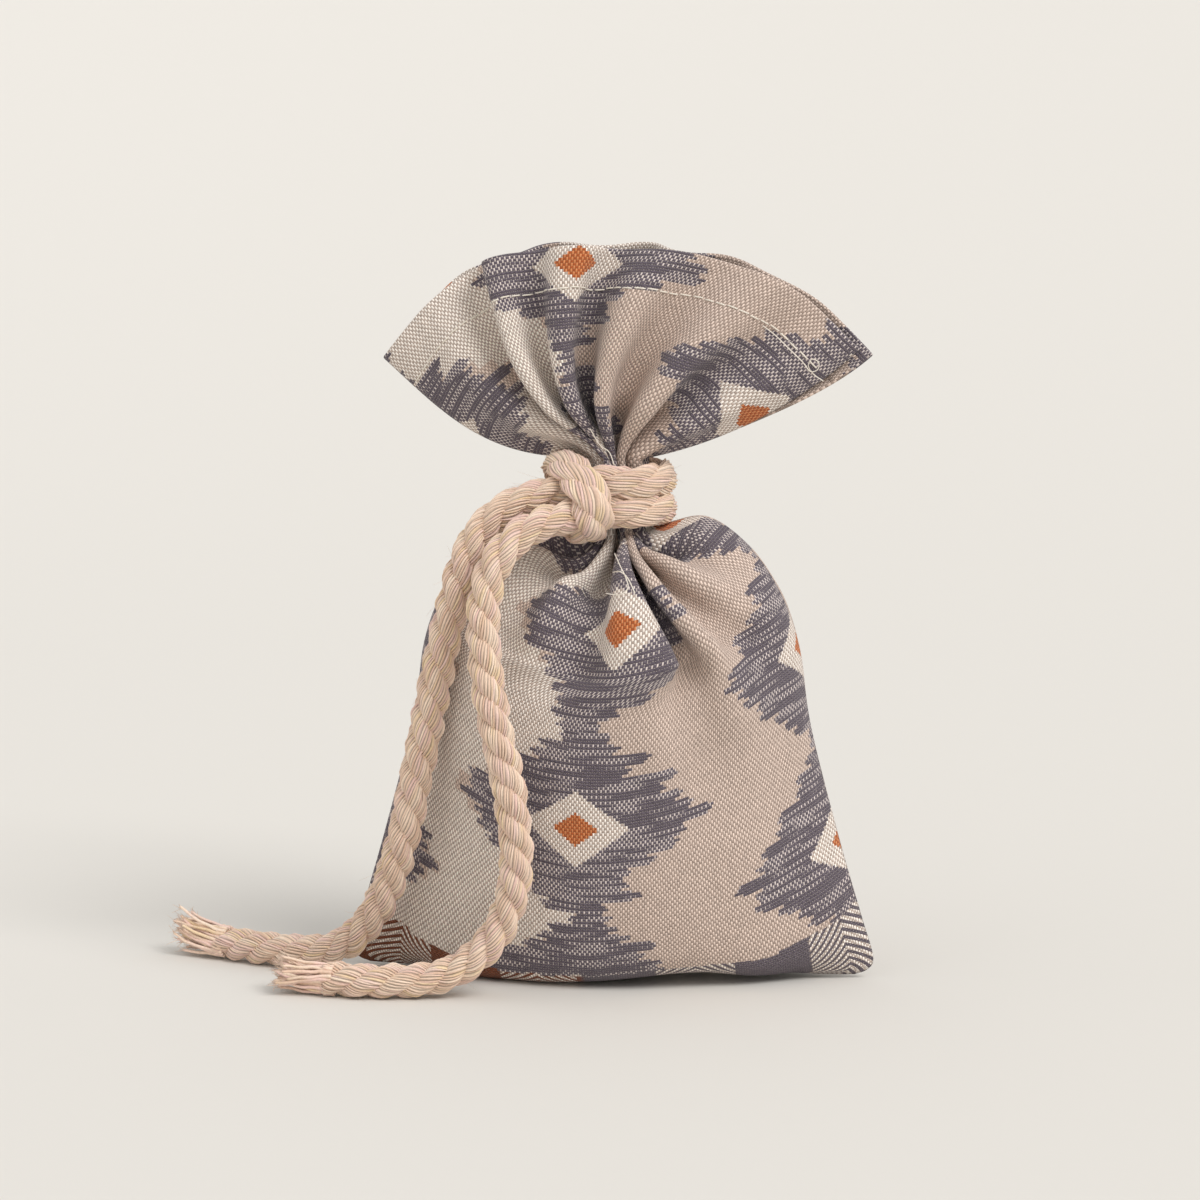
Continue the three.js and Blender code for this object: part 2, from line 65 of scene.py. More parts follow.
# The cloth as it was cut, in millimetres
CUT_WIDTH = 124
BASE_WIDTH, MOUTH_WIDTH = 119, 131  # the cut is a little wider at its mouth
BODY_LENGTH = 120.5  # from the base seam to the tie
NECK_LENGTH = NECK_HIGH - NECK_LOW
FRILL_LENGTH = 46.5  # from the tie to the mouth
FRILL_START = BODY_LENGTH + NECK_LENGTH
CUT_LENGTH = FRILL_START + FRILL_LENGTH
CLOTH_THICK = 0.6
WARP_STEP, WEFT_STEP = 0.54, 0.62  # from one yarn to the next

# The cord, in millimetres
CORD, TIED_CORD = 7.4, 5.8
TURN_MID, TURN_GAP = 105, 0.5
TURN_R = NECK_R + 1.5 * GAP + TIED_CORD / 2
TURN_HIGH = TURN_MID + (TIED_CORD + TURN_GAP) / 2
TURN_LOW = TURN_MID - (TIED_CORD + TURN_GAP) / 2
TURN_STOP = 150
REAR_LEAD = [(-13.2, -12, 105.5), (-10.3, -11.3, 106.2), (-7.4, -10.6, 106.9), (-4, -10.4, 107.8)]
FRONT_LEAD = [(-9.9, -17, 100.7), (-7.4, -15.4, 101.3), (-4.9, -13.8, 101.9), (-2.6, -12, 101.9)]
CROSSING = [
    (-10.1, 1.4, 109), (-11.4, -3.4, 110.9), (-10.1, -8.2, 112.9), (-7.4, -14.1, 112.8), (-3.9, -17.4, 109.8),
    (-1.5, -18.6, 105.8), (-0.6, -18.7, 101.6), (-1.2, -16.6, 97.4), (-3.4, -12.8, 95.4), (-6.2, -8.9, 96.2),
    (-8.7, -4, 98.4), (-9.4, 1, 100.8),
]
REAR_ROUTE = [
    (-20.7, -14, 102.7), (-25.2, -15.3, 98.8), (-28.9, -16.5, 92.1), (-31.8, -17.1, 82), (-34.6, -17.6, 70),
    (-37, -17.8, 58.4), (-39.7, -17.6, 45), (-42.6, -16.6, 32.6), (-45.9, -14.4, 22.4), (-50, -11.8, 14),
    (-55.6, -9.2, 7.6), (-62.6, -7.2, 4.5), (-70.5, -4.8, 3.7), (-78.5, -1.6, 3.7), (-87, 2.6, 3.7),
]
FRONT_ROUTE = [
    (-15.8, -20.5, 98.5), (-19.5, -22.6, 95.2), (-22.6, -24, 90), (-23.9, -25.9, 82.3), (-23.4, -27.6, 75.2),
    (-22.4, -29.3, 67), (-20.6, -30.4, 58), (-18.2, -31, 47.6), (-16.6, -31, 36.8), (-16.5, -30.2, 27.6),
    (-18.3, -29.2, 19.4), (-22, -28.6, 12.4), (-27.6, -28.6, 7), (-34.6, -29.4, 4.2), (-42.5, -30.8, 3.7),
    (-51, -30.8, 3.7), (-57.5, -29.6, 3.7),
]
FRAY = 11


# Small tools for numbers and lines
def lerp(a, b, share):
    return a + (b - a) * share


def smoothstep(x, low, high):
    t = np.clip((x - low) / (high - low), 0, 1)
    return t * t * (3 - 2 * t)


def unit(vectors):
    length = np.linalg.norm(vectors, axis=-1, keepdims=True)
    return vectors / np.maximum(length, 1e-9)


def hermite(a, from_a, b, from_b, t):
    t2, t3 = t * t, t * t * t
    return (2 * t3 - 3 * t2 + 1) * a + (t3 - 2 * t2 + t) * from_a + (3 * t2 - 2 * t3) * b + (t3 - t2) * from_b


def smooth_line(points, steps=24, power=0.0):
    """A Catmull-Rom line. Power 0 spaces its knots evenly, and 0.5 by the root of their distance."""
    p = np.array(points, float)
    p = np.vstack([2 * p[0] - p[1], p, 2 * p[-1] - p[-2]])
    gaps = np.linalg.norm(np.diff(p, axis=0), axis=1) ** power
    t = np.linspace(0, 1, steps, endpoint=False)[:, None]
    line = []
    for i in range(1, len(p) - 2):
        before, here, after = gaps[i - 1 : i + 2]
        step = (p[i + 1] - p[i]) / here
        leave = (p[i] - p[i - 1]) / before - (p[i + 1] - p[i - 1]) / (before + here) + step
        reach = step - (p[i + 2] - p[i]) / (here + after) + (p[i + 2] - p[i + 1]) / after
        line.append(hermite(p[i], leave * here, p[i + 1], reach * here, t))
    return np.vstack([*line, p[-2:-1]])


def lengths_along(line):
    return np.concatenate([[0], np.cumsum(np.linalg.norm(np.diff(line, axis=0), axis=1))])


def at_lengths(line, lengths, values=None):
    """The line's points, or the values given at its points, at those distances along it."""
    along = lengths_along(line)
    values = line if values is None else values
    return np.stack([np.interp(lengths, along, values[:, k]) for k in range(values.shape[1])], axis=1)


def spaced(line, count):
    """The line again, as that many evenly spaced points."""
    return at_lengths(line, np.linspace(0, lengths_along(line)[-1], count))


def blurred(values, reach):
    """Values along a line, each the mean of its neighbours within reach."""
    kernel = np.hanning(2 * reach + 3)[1:-1]
    kernel /= kernel.sum()
    start = 2 * values[:1] - values[reach:0:-1]
    end = 2 * values[-1:] - values[-2 : -reach - 2 : -1]
    padded = np.concatenate([start, values, end])
    return np.stack([np.convolve(column, kernel, "valid") for column in padded.T], axis=1)


def carried_frames(line):
    """The direction at each point of a line, and two directions square to it, carried without twist."""
    tangents = unit(np.gradient(line, axis=0))
    side = np.zeros_like(line)
    start = np.cross(tangents[0], (0.0, 0.0, 1.0))
    side[0] = unit(start if np.linalg.norm(start) > 0.1 else np.cross(tangents[0], (1.0, 0.0, 0.0)))
    for i in range(1, len(line)):
        carried = side[i - 1] - tangents[i] * (side[i - 1] @ tangents[i])
        side[i] = carried / np.linalg.norm(carried)
    return tangents, side, np.cross(tangents, side)


def soft_noise(seed, x, y, scale):
    """Smooth random values, about -1 to 1, over a plane."""
    values = np.random.default_rng(seed).uniform(-1, 1, (64, 64))
    x, y = np.broadcast_arrays(np.asarray(x, float) / scale + 31.3, np.asarray(y, float) / scale + 17.7)
    i, j = np.floor(x).astype(int), np.floor(y).astype(int)
    a, b = x - i, y - j
    a, b = a * a * (3 - 2 * a), b * b * (3 - 2 * b)
    i, j = i % 63, j % 63
    low = lerp(values[i, j], values[i + 1, j], a)
    high = lerp(values[i, j + 1], values[i + 1, j + 1], a)
    return lerp(low, high, b)


# Meshes in the making
class Shape:
    """Points in millimetres, faces, and the corners' places in each UV map."""

    def __init__(self, *maps):
        self.points = []
        self.faces = []
        self.maps = {name: [] for name in maps}
        self.count = 0

    def quads(self, numbers, flip=False, **uvs):
        """A quad between each four neighbours in rows of points that are there, given by their numbers."""
        r, c = np.meshgrid(*(np.arange(count - 1) for count in numbers.shape), indexing="ij")
        corners = [(r, c), (r, c + 1), (r + 1, c + 1), (r + 1, c)]
        if flip:
            corners.reverse()
        self.faces += np.stack([numbers[i, j] for i, j in corners], axis=-1).reshape(-1, 4).tolist()
        for name, places in self.maps.items():
            uv = np.asarray(uvs[name])
            places.append(np.stack([uv[i, j] for i, j in corners], axis=2).reshape(-1, 2))

    def grid(self, points, closed=False, flip=False, **uvs):
        """Quads between rows of new points. Closed rows are rings, whose UVs have one column more."""
        rows, columns = points.shape[:2]
        numbers = self.count + np.arange(rows * columns).reshape(rows, columns)
        self.points.append(points.reshape(-1, 3))
        self.count += rows * columns
        self.quads(np.hstack([numbers, numbers[:, :1]]) if closed else numbers, flip, **uvs)

    def cap(self, ring_start, count, flip=False, **uvs):
        """A face across a ring of points that is already there."""
        order = list(range(count)[::-1] if flip else range(count))
        self.faces.append([ring_start + i for i in order])
        for name, places in self.maps.items():
            places.append(np.asarray(uvs[name])[order])

    def skin(self, rings, **uvs):
        """A closed skin through rings of points, with a cap at each end."""
        first, sides = self.count, rings.shape[1]
        self.grid(rings, closed=True, **uvs)
        self.cap(first, sides, flip=True, **{name: uv[0] for name, uv in uvs.items()})
        last = first + (len(rings) - 1) * sides
        self.cap(last, sides, **{name: uv[-1] for name, uv in uvs.items()})

    def tube(self, line, radii, sides=6, yarn=0.0):
        """A closed round tube along a line, which tapers as its radii do."""
        _, a, b = carried_frames(line)
        angles = np.linspace(0, 2 * math.pi, sides, endpoint=False)
        spokes = np.cos(angles)[None, :, None] * a[:, None] + np.sin(angles)[None, :, None] * b[:, None]
        points = line[:, None] + spokes * np.broadcast_to(radii, len(line))[:, None, None]
        along = np.repeat(lengths_along(line)[:, None], sides + 1, axis=1)
        around = np.repeat(np.linspace(0, 0.999, sides + 1)[None], len(line), axis=0) + yarn
        uv = np.stack([around, along], axis=-1)
        self.skin(points, **{name: uv for name in self.maps})

    def piece(self, name):
        mesh = bpy.data.meshes.new(name)
        mesh.from_pydata((np.vstack(self.points) * MM).tolist(), [], self.faces)
        for map_name, places in self.maps.items():
            layer = mesh.uv_layers.new(name=map_name)
            layer.uv.foreach_set("vector", np.vstack(places).astype(np.float32).ravel())
        mesh.polygons.foreach_set("use_smooth", [True] * len(mesh.polygons))
        mesh.update()
        piece = bpy.data.objects.new(name, mesh)
        bpy.context.scene.collection.objects.link(piece)
        return piece


# Finishes
def math_method(operation, swapped=False):
    """A method of a value that adds a Math node of that kind."""
    def method(value, *others):
        values = (value, *others)
        return value.finish.math(operation, *(reversed(values) if swapped else values))

    return method


class Value:
    """A number, vector or colour on its way through a finish. Plain arithmetic works on the numbers."""

    __add__, __radd__ = math_method("ADD"), math_method("ADD", True)
    __sub__, __rsub__ = math_method("SUBTRACT"), math_method("SUBTRACT", True)
    __mul__, __rmul__ = math_method("MULTIPLY"), math_method("MULTIPLY", True)
    __truediv__ = math_method("DIVIDE")
    floor = math_method("FLOOR")
    fraction = math_method("FRACT")
    size = math_method("ABSOLUTE")
    cosine = math_method("COSINE")
    power = math_method("POWER")
    most = math_method("MAXIMUM")
    least = math_method("MINIMUM")

    def __init__(self, finish, socket):
        self.finish = finish
        self.socket = socket

    def sign_of_row(self):
        """1 on even whole numbers and -1 on odd ones."""
        return 1 - 2 * self.finish.math("FLOORED_MODULO", self, 2)

    def step(self, low, high):
        """0 below low and 1 above high, with a smooth rise between."""
        inputs = {0: self, 1: low, 2: high, 3: 0, 4: 1}
        return self.finish.value("ShaderNodeMapRange", {"interpolation_type": "SMOOTHSTEP"}, inputs)


class Finish:
    """A procedural material. Its last call is shade."""

    def __init__(self, name):
        self.material = bpy.data.materials.new(name)
        self.material.use_nodes = True
        self.nodes = self.material.node_tree.nodes
        self.links = self.material.node_tree.links
        self.shader = self.nodes["Principled BSDF"]

    def node(self, kind, settings=None, inputs=None):
        made = self.nodes.new(kind)
        for name, setting in (settings or {}).items():
            setattr(made, name, setting)
        for key, value in (inputs or {}).items():
            if isinstance(value, Value):
                self.links.new(value.socket, made.inputs[key])
            else:
                made.inputs[key].default_value = value
        return made

    def value(self, kind, settings=None, inputs=None, output=0):
        """One output of a new node."""
        return Value(self, self.node(kind, settings, inputs).outputs[output])

    def math(self, operation, *values):
        return self.value("ShaderNodeMath", {"operation": operation}, dict(enumerate(values)))

    def parts(self, vector):
        node = self.node("ShaderNodeSeparateXYZ", None, {0: vector})
        return [Value(self, output) for output in node.outputs]

    def uv(self, name):
        """The two numbers of a UV map."""
        return self.parts(self.value("ShaderNodeUVMap", {"uv_map": name}))[:2]

    def vector(self, x, y):
        return self.value("ShaderNodeCombineXYZ", None, {0: x, 1: y})

    def noise(self, x, y, detail=2.0, roughness=0.5):
        """Smooth noise over a plane, about 0.5, at a scale of 1."""
        inputs = {"Vector": self.vector(x, y), "Scale": 1.0, "Detail": detail, "Roughness": roughness}
        return self.value("ShaderNodeTexNoise", {"noise_dimensions": "2D"}, inputs)

    def dice(self, x, y=0.0):
        """A random number from 0 to 1 for each pair of numbers."""
        inputs = {"Vector": self.vector(x, y)}
        return self.value("ShaderNodeTexWhiteNoise", {"noise_dimensions": "2D"}, inputs)

    def mix(self, share, a, b):
        """From colour a at 0 to colour b at 1."""
        return self.value("ShaderNodeMix", {"data_type": "RGBA"}, {0: share, 6: a, 7: b}, 2)

    def dim(self, colour, share):
        """A colour times a number."""
        return self.value("ShaderNodeVectorMath", {"operation": "SCALE"}, {0: colour, 3: share})

    def shade(self, colour, roughness, height=None, depth=0.1, sheen=0.0, specular=0.3):
        """Colour and roughness may vary. Height is a bump, and depth its size in millimetres."""
        for key, value in (("Base Color", colour), ("Roughness", roughness)):
            if isinstance(value, Value):
                self.links.new(value.socket, self.shader.inputs[key])
            else:
                self.shader.inputs[key].default_value = value
        self.shader.inputs["Specular IOR Level"].default_value = specular
        self.shader.inputs["Sheen Weight"].default_value = sheen
        self.shader.inputs["Sheen Roughness"].default_value = 0.5
        if height is not None:
            inputs = {"Height": height, "Distance": depth * MM, "Strength": 1.0}
            bump = self.value("ShaderNodeBump", None, inputs)
            self.links.new(bump.socket, self.shader.inputs["Normal"])
        return self.material


def paint(red, green, blue):
    """A colour as it shows on a screen, from 0 to 255, turned into the light that a finish works in."""
    def linear(level):
        level /= 255
        return level / 12.92 if level <= 0.04045 else ((level + 0.055) / 1.055) ** 2.4

    return (linear(red), linear(green), linear(blue), 1.0)


# Camera, lights and floor
TARGET = Vector((-2.4, 0, 81.5)) * MM
VIEW_AZIMUTH, VIEW_ELEVATION, VIEW_DISTANCE = 7, 8, 0.9
LENS, SENSOR = 125.6, 36
FLOOR_FLAT, FLOOR_BEND, FLOOR_RISE, BACKDROP = 0.5, 4, 20, 30  # metres, but its rise in degrees
SKY_COLOUR, SKY_STRENGTH = (1.0, 0.994, 0.978, 1), 0.72


def towards(azimuth, elevation):
    """The direction from the pouch to something at that angle round it and above it, in degrees."""
    a, e = math.radians(azimuth), math.radians(elevation)
    return Vector((math.sin(a) * math.cos(e), -math.cos(a) * math.cos(e), math.sin(e)))


def place_camera():
    back = towards(VIEW_AZIMUTH, VIEW_ELEVATION)
    bpy.ops.object.camera_add(location=TARGET + back * VIEW_DISTANCE)
    camera = bpy.context.active_object
    camera.name = "camera"
    camera.rotation_euler = (-back).to_track_quat("-Z", "Y").to_euler()
    camera.data.lens = LENS
    camera.data.sensor_width = SENSOR
    bpy.context.scene.camera = camera


def place_sun(name, azimuth, elevation, softness, strength, colour):
    """A soft lamp that lights the whole floor evenly. Softness is the angle that it fills, in degrees."""
    bpy.ops.object.light_add(type="SUN")
    lamp = bpy.context.active_object
    lamp.name = name
    lamp.rotation_euler = (-towards(azimuth, elevation)).to_track_quat("-Z", "Y").to_euler()
    lamp.data.angle = math.radians(softness)
    lamp.data.energy = strength
    lamp.data.color = colour


def place_floor():
    """A plain round floor that rises gently into a backdrop on every side."""
    rise = np.radians(np.linspace(0, FLOOR_RISE, 15))
    profile = [(FLOOR_FLAT + FLOOR_BEND * math.sin(a), FLOOR_BEND - FLOOR_BEND * math.cos(a)) for a in rise]
    edge, height = profile[-1]
    profile.append((edge + BACKDROP, height + BACKDROP * math.tan(rise[-1])))
    round_about = np.linspace(0, 2 * math.pi, 97)[:-1]
    rings = [[(r * math.cos(a), r * math.sin(a), z) for a in round_about] for r, z in profile]
    shape = Shape()
    shape.grid(np.array(rings) / MM, closed=True)
    shape.cap(0, len(round_about), True)
    floor = shape.piece("floor")
    finish = Finish("floor_paper")
    floor.data.materials.append(finish.shade(paint(219, 216, 211), 0.9, specular=0.1))


def place_studio():
    place_camera()
    place_sun("key", azimuth=56, elevation=46, softness=30, strength=1.75, colour=(1.0, 0.985, 0.965))
    place_sun("fill", azimuth=-70, elevation=30, softness=60, strength=0.2, colour=(0.97, 0.98, 1.0))
    place_floor()
    world = bpy.data.worlds.new("studio")
    world.use_nodes = True
    world.node_tree.nodes["Background"].inputs["Color"].default_value = SKY_COLOUR
    world.node_tree.nodes["Background"].inputs["Strength"].default_value = SKY_STRENGTH
    bpy.context.scene.world = world
    bpy.context.scene.view_settings.view_transform = "Standard"


place_studio()


# The cord's line
def curve(points):
    return smooth_line(points, 24, 0.5)


def noose_line():
    """In under the crossing, round the neck, over the front, back under it, and round the neck again."""
    def ring(height, start):
        angles = np.radians(np.linspace(start, TURN_STOP, 25))
        return [(NECK_X + TURN_R * math.cos(a), TURN_R * math.sin(a), height) for a in angles]

    return curve(REAR_LEAD + ring(TURN_HIGH, -98) + CROSSING + ring(TURN_LOW, -94)[::-1] + FRONT_LEAD[::-1])


def tail_line(lead, route):
    """A free tail, which leaves the noose in line with its lead."""
    end = np.array(lead[0], float)
    out = unit(end - np.array(lead[1], float))
    return curve([end + out * GAP, end + out * (GAP + 0.4 * CORD), *route])


ROPE_STEP = 0.78
noose, rear, front = noose_line(), tail_line(REAR_LEAD, REAR_ROUTE), tail_line(FRONT_LEAD, FRONT_ROUTE)
rope = np.vstack([rear[::-1], noose, front])
rope = blurred(spaced(rope, int(lengths_along(rope)[-1] / ROPE_STEP)), 3)
along_rope = lengths_along(rope)
rear_end = lengths_along(rear)[-1]  # where the rear tail meets the noose, from that tail's free end
front_end = rear_end + lengths_along(noose)[-1]
rope_out, rope_a, rope_b = carried_frames(rope)

# The cord's make
LAY, TIED_LAY = 18.4, 27  # length of one turn of the strands, hanging free and drawn tight
STRAND_SHARE = 2.155  # three touching strands make a cord this many times as wide as one of them
YARNS, YARN_POINTS = 22, 4  # round a strand, and round a yarn
FULLNESS = 1.36  # the strands are pressed into each other, so each is this much wider
YARN_TWIST = -0.85  # how the yarns turn in their strand, against the strands' own turn
STRAND_TURN, STRAND_START = 2 * math.pi / 3, 0.6  # from one strand to the next, and where the first one is
YARN_APART = 57.0  # how far apart two neighbouring yarns lie in the noise that makes them uneven
GROOVE_DEPTH, YARN_BULGE, STRAND_BULGE = 1.4, 0.26, 0.1
TIE_NEAR, TIE_FAR = 1, 8  # how far into the noose the cord starts to be drawn tight, and is tight
tied = smoothstep(along_rope, rear_end + TIE_NEAR, rear_end + TIE_FAR)
tied *= 1 - smoothstep(along_rope, front_end - TIE_FAR, front_end - TIE_NEAR)
rope_width = lerp(CORD, TIED_CORD, tied)
turned = -np.concatenate([[0], np.cumsum(2 * math.pi * np.diff(along_rope) / lerp(LAY, TIED_LAY, tied[1:]))])

# The crossing lies flat on the turns: it is pressed towards the middle of its loop.
CROSSING_MIDDLE = np.array([-5.5, -8, 104.4])
CROSSING_HALF = 21
CROSSING_PULL = 2.7  # how far the soft cord sinks into the cords under it
crossing = np.exp(-(((along_rope - (rear_end + front_end) / 2) / CROSSING_HALF) ** 2))
ring_out = unit(rope * (1, 1, 0) - (NECK_X, 0, 0))
press_out = lerp(ring_out, unit(rope - CROSSING_MIDDLE), smoothstep(crossing, 0.05, 0.5)[:, None])
press_out = unit(press_out - rope_out * (press_out * rope_out).sum(1)[:, None])
press_side = np.cross(rope_out, press_out)
thinner = -tied * lerp(0.06, 0.2, crossing)
wider = tied * lerp(0.26, 0.55, crossing)
drawn_in = CROSSING_PULL * tied * smoothstep(crossing, 0.3, 0.8)


def pressed(offsets, rows):
    """Offsets from the cord's line, flattened as the cord is at those rows."""
    for direction, change in ((press_out, thinner), (press_side, wider)):
        square = direction[rows][:, None]
        offsets = offsets + square * (offsets * square).sum(-1, keepdims=True) * change[rows][:, None, None]
    return offsets - (press_out[rows] * drawn_in[rows][:, None])[:, None]


def strand_rings(strand, rows):
    """Rings of points round one strand: each yarn is round on top, with a groove beside it."""
    s = along_rope[rows][:, None]
    strand_r = rope_width[rows][:, None] / STRAND_SHARE / 2 * FULLNESS
    centre_r = rope_width[rows][:, None] / 2 - strand_r
    turn = turned[rows][:, None]
    angle = turn + strand * STRAND_TURN + STRAND_START
    a, b = rope_a[rows][:, None], rope_b[rows][:, None]
    centre = (centre_r * np.cos(angle))[..., None] * a + (centre_r * np.sin(angle))[..., None] * b
    part = np.arange(YARNS * YARN_POINTS)[None]
    yarn = part // YARN_POINTS
    across = 2 * (part % YARN_POINTS) / YARN_POINTS - 1
    high = soft_noise(11 + strand, s, yarn * YARN_APART, 6)
    high = high + 0.6 * soft_noise(41 + strand, s, yarn * YARN_APART, 2)
    aside = soft_noise(23 + strand, s, yarn * YARN_APART, 9)
    around = part / (YARNS * YARN_POINTS) * 2 * math.pi + 0.12 * aside + YARN_TWIST * turn + 1.3 * strand
    groove = math.pi * strand_r / YARNS * (1 - np.sqrt(1 - 0.93 * across**2))
    radius = strand_r - GROOVE_DEPTH * groove + YARN_BULGE * high * (1 - across**2)
    radius = radius + STRAND_BULGE * soft_noise(31 + strand, s, 0, 6)
    spokes = np.cos(around)[..., None] * a + np.sin(around)[..., None] * b
    return rope[rows][:, None] + pressed(centre + spokes * radius[..., None], rows)


def spoke_at(row, angle):
    """The direction out of the cord's line at an angle round it."""
    return math.cos(angle) * rope_a[row] + math.sin(angle) * rope_b[row]


def rope_piece(name, start, end):
    """The cord between two lengths along it, as three twisted strands."""
    rows = np.flatnonzero((along_rope >= start - ROPE_STEP / 2) & (along_rope <= end + ROPE_STEP / 2))
    shape = Shape("yarns", "OFBake")
    sides = YARNS * YARN_POINTS
    disc = np.linspace(0, 2 * math.pi, sides, endpoint=False)
    disc = np.stack([np.cos(disc), np.sin(disc)], axis=1) * 0.008 + 0.985
    for strand in range(3):
        rings = strand_rings(strand, rows)
        rings[..., 2] = np.maximum(rings[..., 2], 0.05)
        around, along = np.meshgrid(np.linspace(0, 1, sides + 1), along_rope[rows])
        yarns = np.stack([YARNS * (around * 0.99999 + strand), along], axis=-1)
        along_bake = (along - along[0, 0]) / np.ptp(along) * 0.97
        bake = np.stack([(strand + 0.02 + 0.96 * around) / 3, along_bake], axis=-1)
        first = shape.count
        shape.grid(rings, closed=True, yarns=yarns, OFBake=bake)
        spot = disc - (0.1 * strand, 0)
        shape.cap(first, sides, True, yarns=yarns[0], OFBake=spot)
        shape.cap(first + (len(rows) - 1) * sides, sides, False, yarns=yarns[-1], OFBake=spot - (0.05, 0))
    return shape.piece(name), rope[rows]


HIDDEN_LEAD = 6  # how far under the crossing each tail's strands begin
neck_turns, _ = rope_piece("neck_turns_rope", rear_end + HIDDEN_LEAD, front_end - HIDDEN_LEAD)
tail_rear, rear_path = rope_piece("tail_rear_rope", 0, rear_end + HIDDEN_LEAD)
tail_front, front_path = rope_piece("tail_front_rope", front_end - HIDDEN_LEAD, along_rope[-1])


# The frayed ends
def wavy(line, seed, size):
    """A line with small smooth bends, which leave its start in place."""
    along = lengths_along(line)
    bends = np.stack([soft_noise(seed + k, along, 5.0 * k, 2.6) for k in range(3)], axis=1)
    return line + bends * size * smoothstep(along, 0, 4)[:, None]


FIBRE_FLOOR, YARN_FLOOR = 0.06, 0.45  # the least height of a fibre's and of a yarn's line


def fibre(shape, rng, start, out, length, radius, curl):
    """A fine fibre that leaves along out and curls away at random."""
    bend = unit(rng.normal(size=3)) * curl * length
    t = np.linspace(0, 1, 7)[:, None]
    line = start + out * length * t + bend * t * t
    line[:, 2] = np.maximum(line[:, 2], FIBRE_FLOOR)
    shape.tube(line, radius * np.linspace(1, 0.4, 7), sides=3, yarn=rng.integers(40))


OUTER_YARNS, INNER_YARNS = 15, 6  # of each strand, in its frayed end
FRAY_START = 2.5  # how far inside the cord the frayed yarns begin
YARN_R, YARN_TIP_R = 0.44, 0.3


def frayed_piece(name, row, heading, seed, lift):
    """The cord's strands past its last row, parting into yarns that end in loose fibres."""
    rng = np.random.default_rng(seed)
    shape = Shape("yarns")
    end, out = rope[row], rope_out[row] * heading
    strand_r = CORD / STRAND_SHARE / 2 * FULLNESS
    places = [(strand_r - 0.42, 2 * math.pi * k / OUTER_YARNS) for k in range(OUTER_YARNS)]
    places += [(0.5 * strand_r, 1.2 * k) for k in range(INNER_YARNS)]
    t = np.linspace(0, 1, 16)[:, None]
    for strand in range(3):
        spoke = spoke_at(row, turned[row] + strand * STRAND_TURN + STRAND_START)
        middle = end + spoke * (CORD / 2 - strand_r)
        sideways = unit(spoke + rng.normal(size=3) * 0.15)
        for yarn, (ring, a) in enumerate(places):
            place = spoke_at(row, a) * ring
            length = FRAY * rng.uniform(0.7, 0.95)
            spread = sideways * rng.uniform(0.0, 0.16) + place * rng.uniform(-0.05, 0.07)
            spread = spread + np.array([0, 0, lift[strand]]) + rng.normal(size=3) * 0.07
            tip = middle + place + out * length + spread * length
            tip[2] = max(tip[2], 0.5 + rng.uniform(0, 0.5))
            start = middle + place - out * FRAY_START
            line = hermite(start, out * length * 0.9, tip, (out + 1.7 * spread) * length * 0.8, t)
            line = wavy(line, seed + 7 * yarn + 40 * strand, 0.35)
            line[:, 2] = np.maximum(line[:, 2], YARN_FLOOR)
            shape.tube(line, np.linspace(YARN_R, YARN_TIP_R, 16), sides=7, yarn=yarn + YARNS * strand)
            tip_out = unit(line[-1] - line[-3])
            for _ in range(5):
                away = unit(tip_out + rng.normal(size=3) * 0.28)
                length = rng.uniform(0.8, 2.6)
                start = line[-2] + rng.normal(size=3) * 0.1
                fibre(shape, rng, start, away, length, rng.uniform(0.05, 0.12), 0.3)
            for _ in range(2):
                k = rng.integers(5, 15)
                away = unit(unit(line[k] - line[k - 1]) + rng.normal(size=3) * 0.5)
                fibre(shape, rng, line[k], away, rng.uniform(1, 2.5), 0.04, 0.5)
    return shape.piece(name)


frayed_rear = frayed_piece("frayed_end_rear_yarns", 0, -1, 5, (0.3, -0.08, 0.04))
frayed_front = frayed_piece("frayed_end_front_yarns", len(rope) - 1, 1, 8, (-0.05, 0.3, -0.1))


HAIRS = 420


def cord_fibres(name):
    """Loose hairs that stand off the cord."""
    rng = np.random.default_rng(77)
    shape = Shape("yarns")
    for _ in range(HAIRS):
        row = rng.integers(8, len(rope) - 8)
        spoke = spoke_at(row, rng.uniform(0, 2 * math.pi))
        start = rope[row] + spoke * rope_width[row] * 0.44
        if start[2] < 0.5:
            continue
        along = rope_out[row] * rng.choice([-1, 1])
        away = unit(spoke * rng.uniform(0.2, 0.8) + along)
        fibre(shape, rng, start, away, rng.uniform(1.5, 4.5), 0.03, 0.45)
    return shape.piece(name)


hairs = cord_fibres("cord_fibres")


# The cloth's forms
def between(start, end):
    """Gives the point at any share of the way across and any share of the way up, from start to end."""
    return lambda across, up: (lerp(start[0], end[0], across), lerp(start[1], end[1], up))


NECK_EDGE = (NECK_R, NECK_LOW)
SHOULDER = (SHOULDER_HALF, SHOULDER_HEIGHT)
FLANK = (FLANK_HALF, FLANK_HEIGHT)
BELLY = (BELLY_DEPTH, BELLY_HEIGHT)


def middle_line():
    """Half depth and height up the middle of a panel, from the base seam to the neck."""
    belly = between((FOOT_DEPTH, 0), BELLY)
    shoulder = between(BELLY, NECK_EDGE)
    return smooth_line([
        (0, 0), (0.5 * FOOT_DEPTH, 0), (FOOT_DEPTH, 0), belly(0.4, 0.04), belly(0.68, 0.18), belly(0.9, 0.5),
        belly(1, 1), shoulder(0.09, 0.46), shoulder(0.34, 0.76), shoulder(0.66, 0.91),
        (NECK_R + 2.4, NECK_LOW - 1.2), NECK_EDGE,
    ])


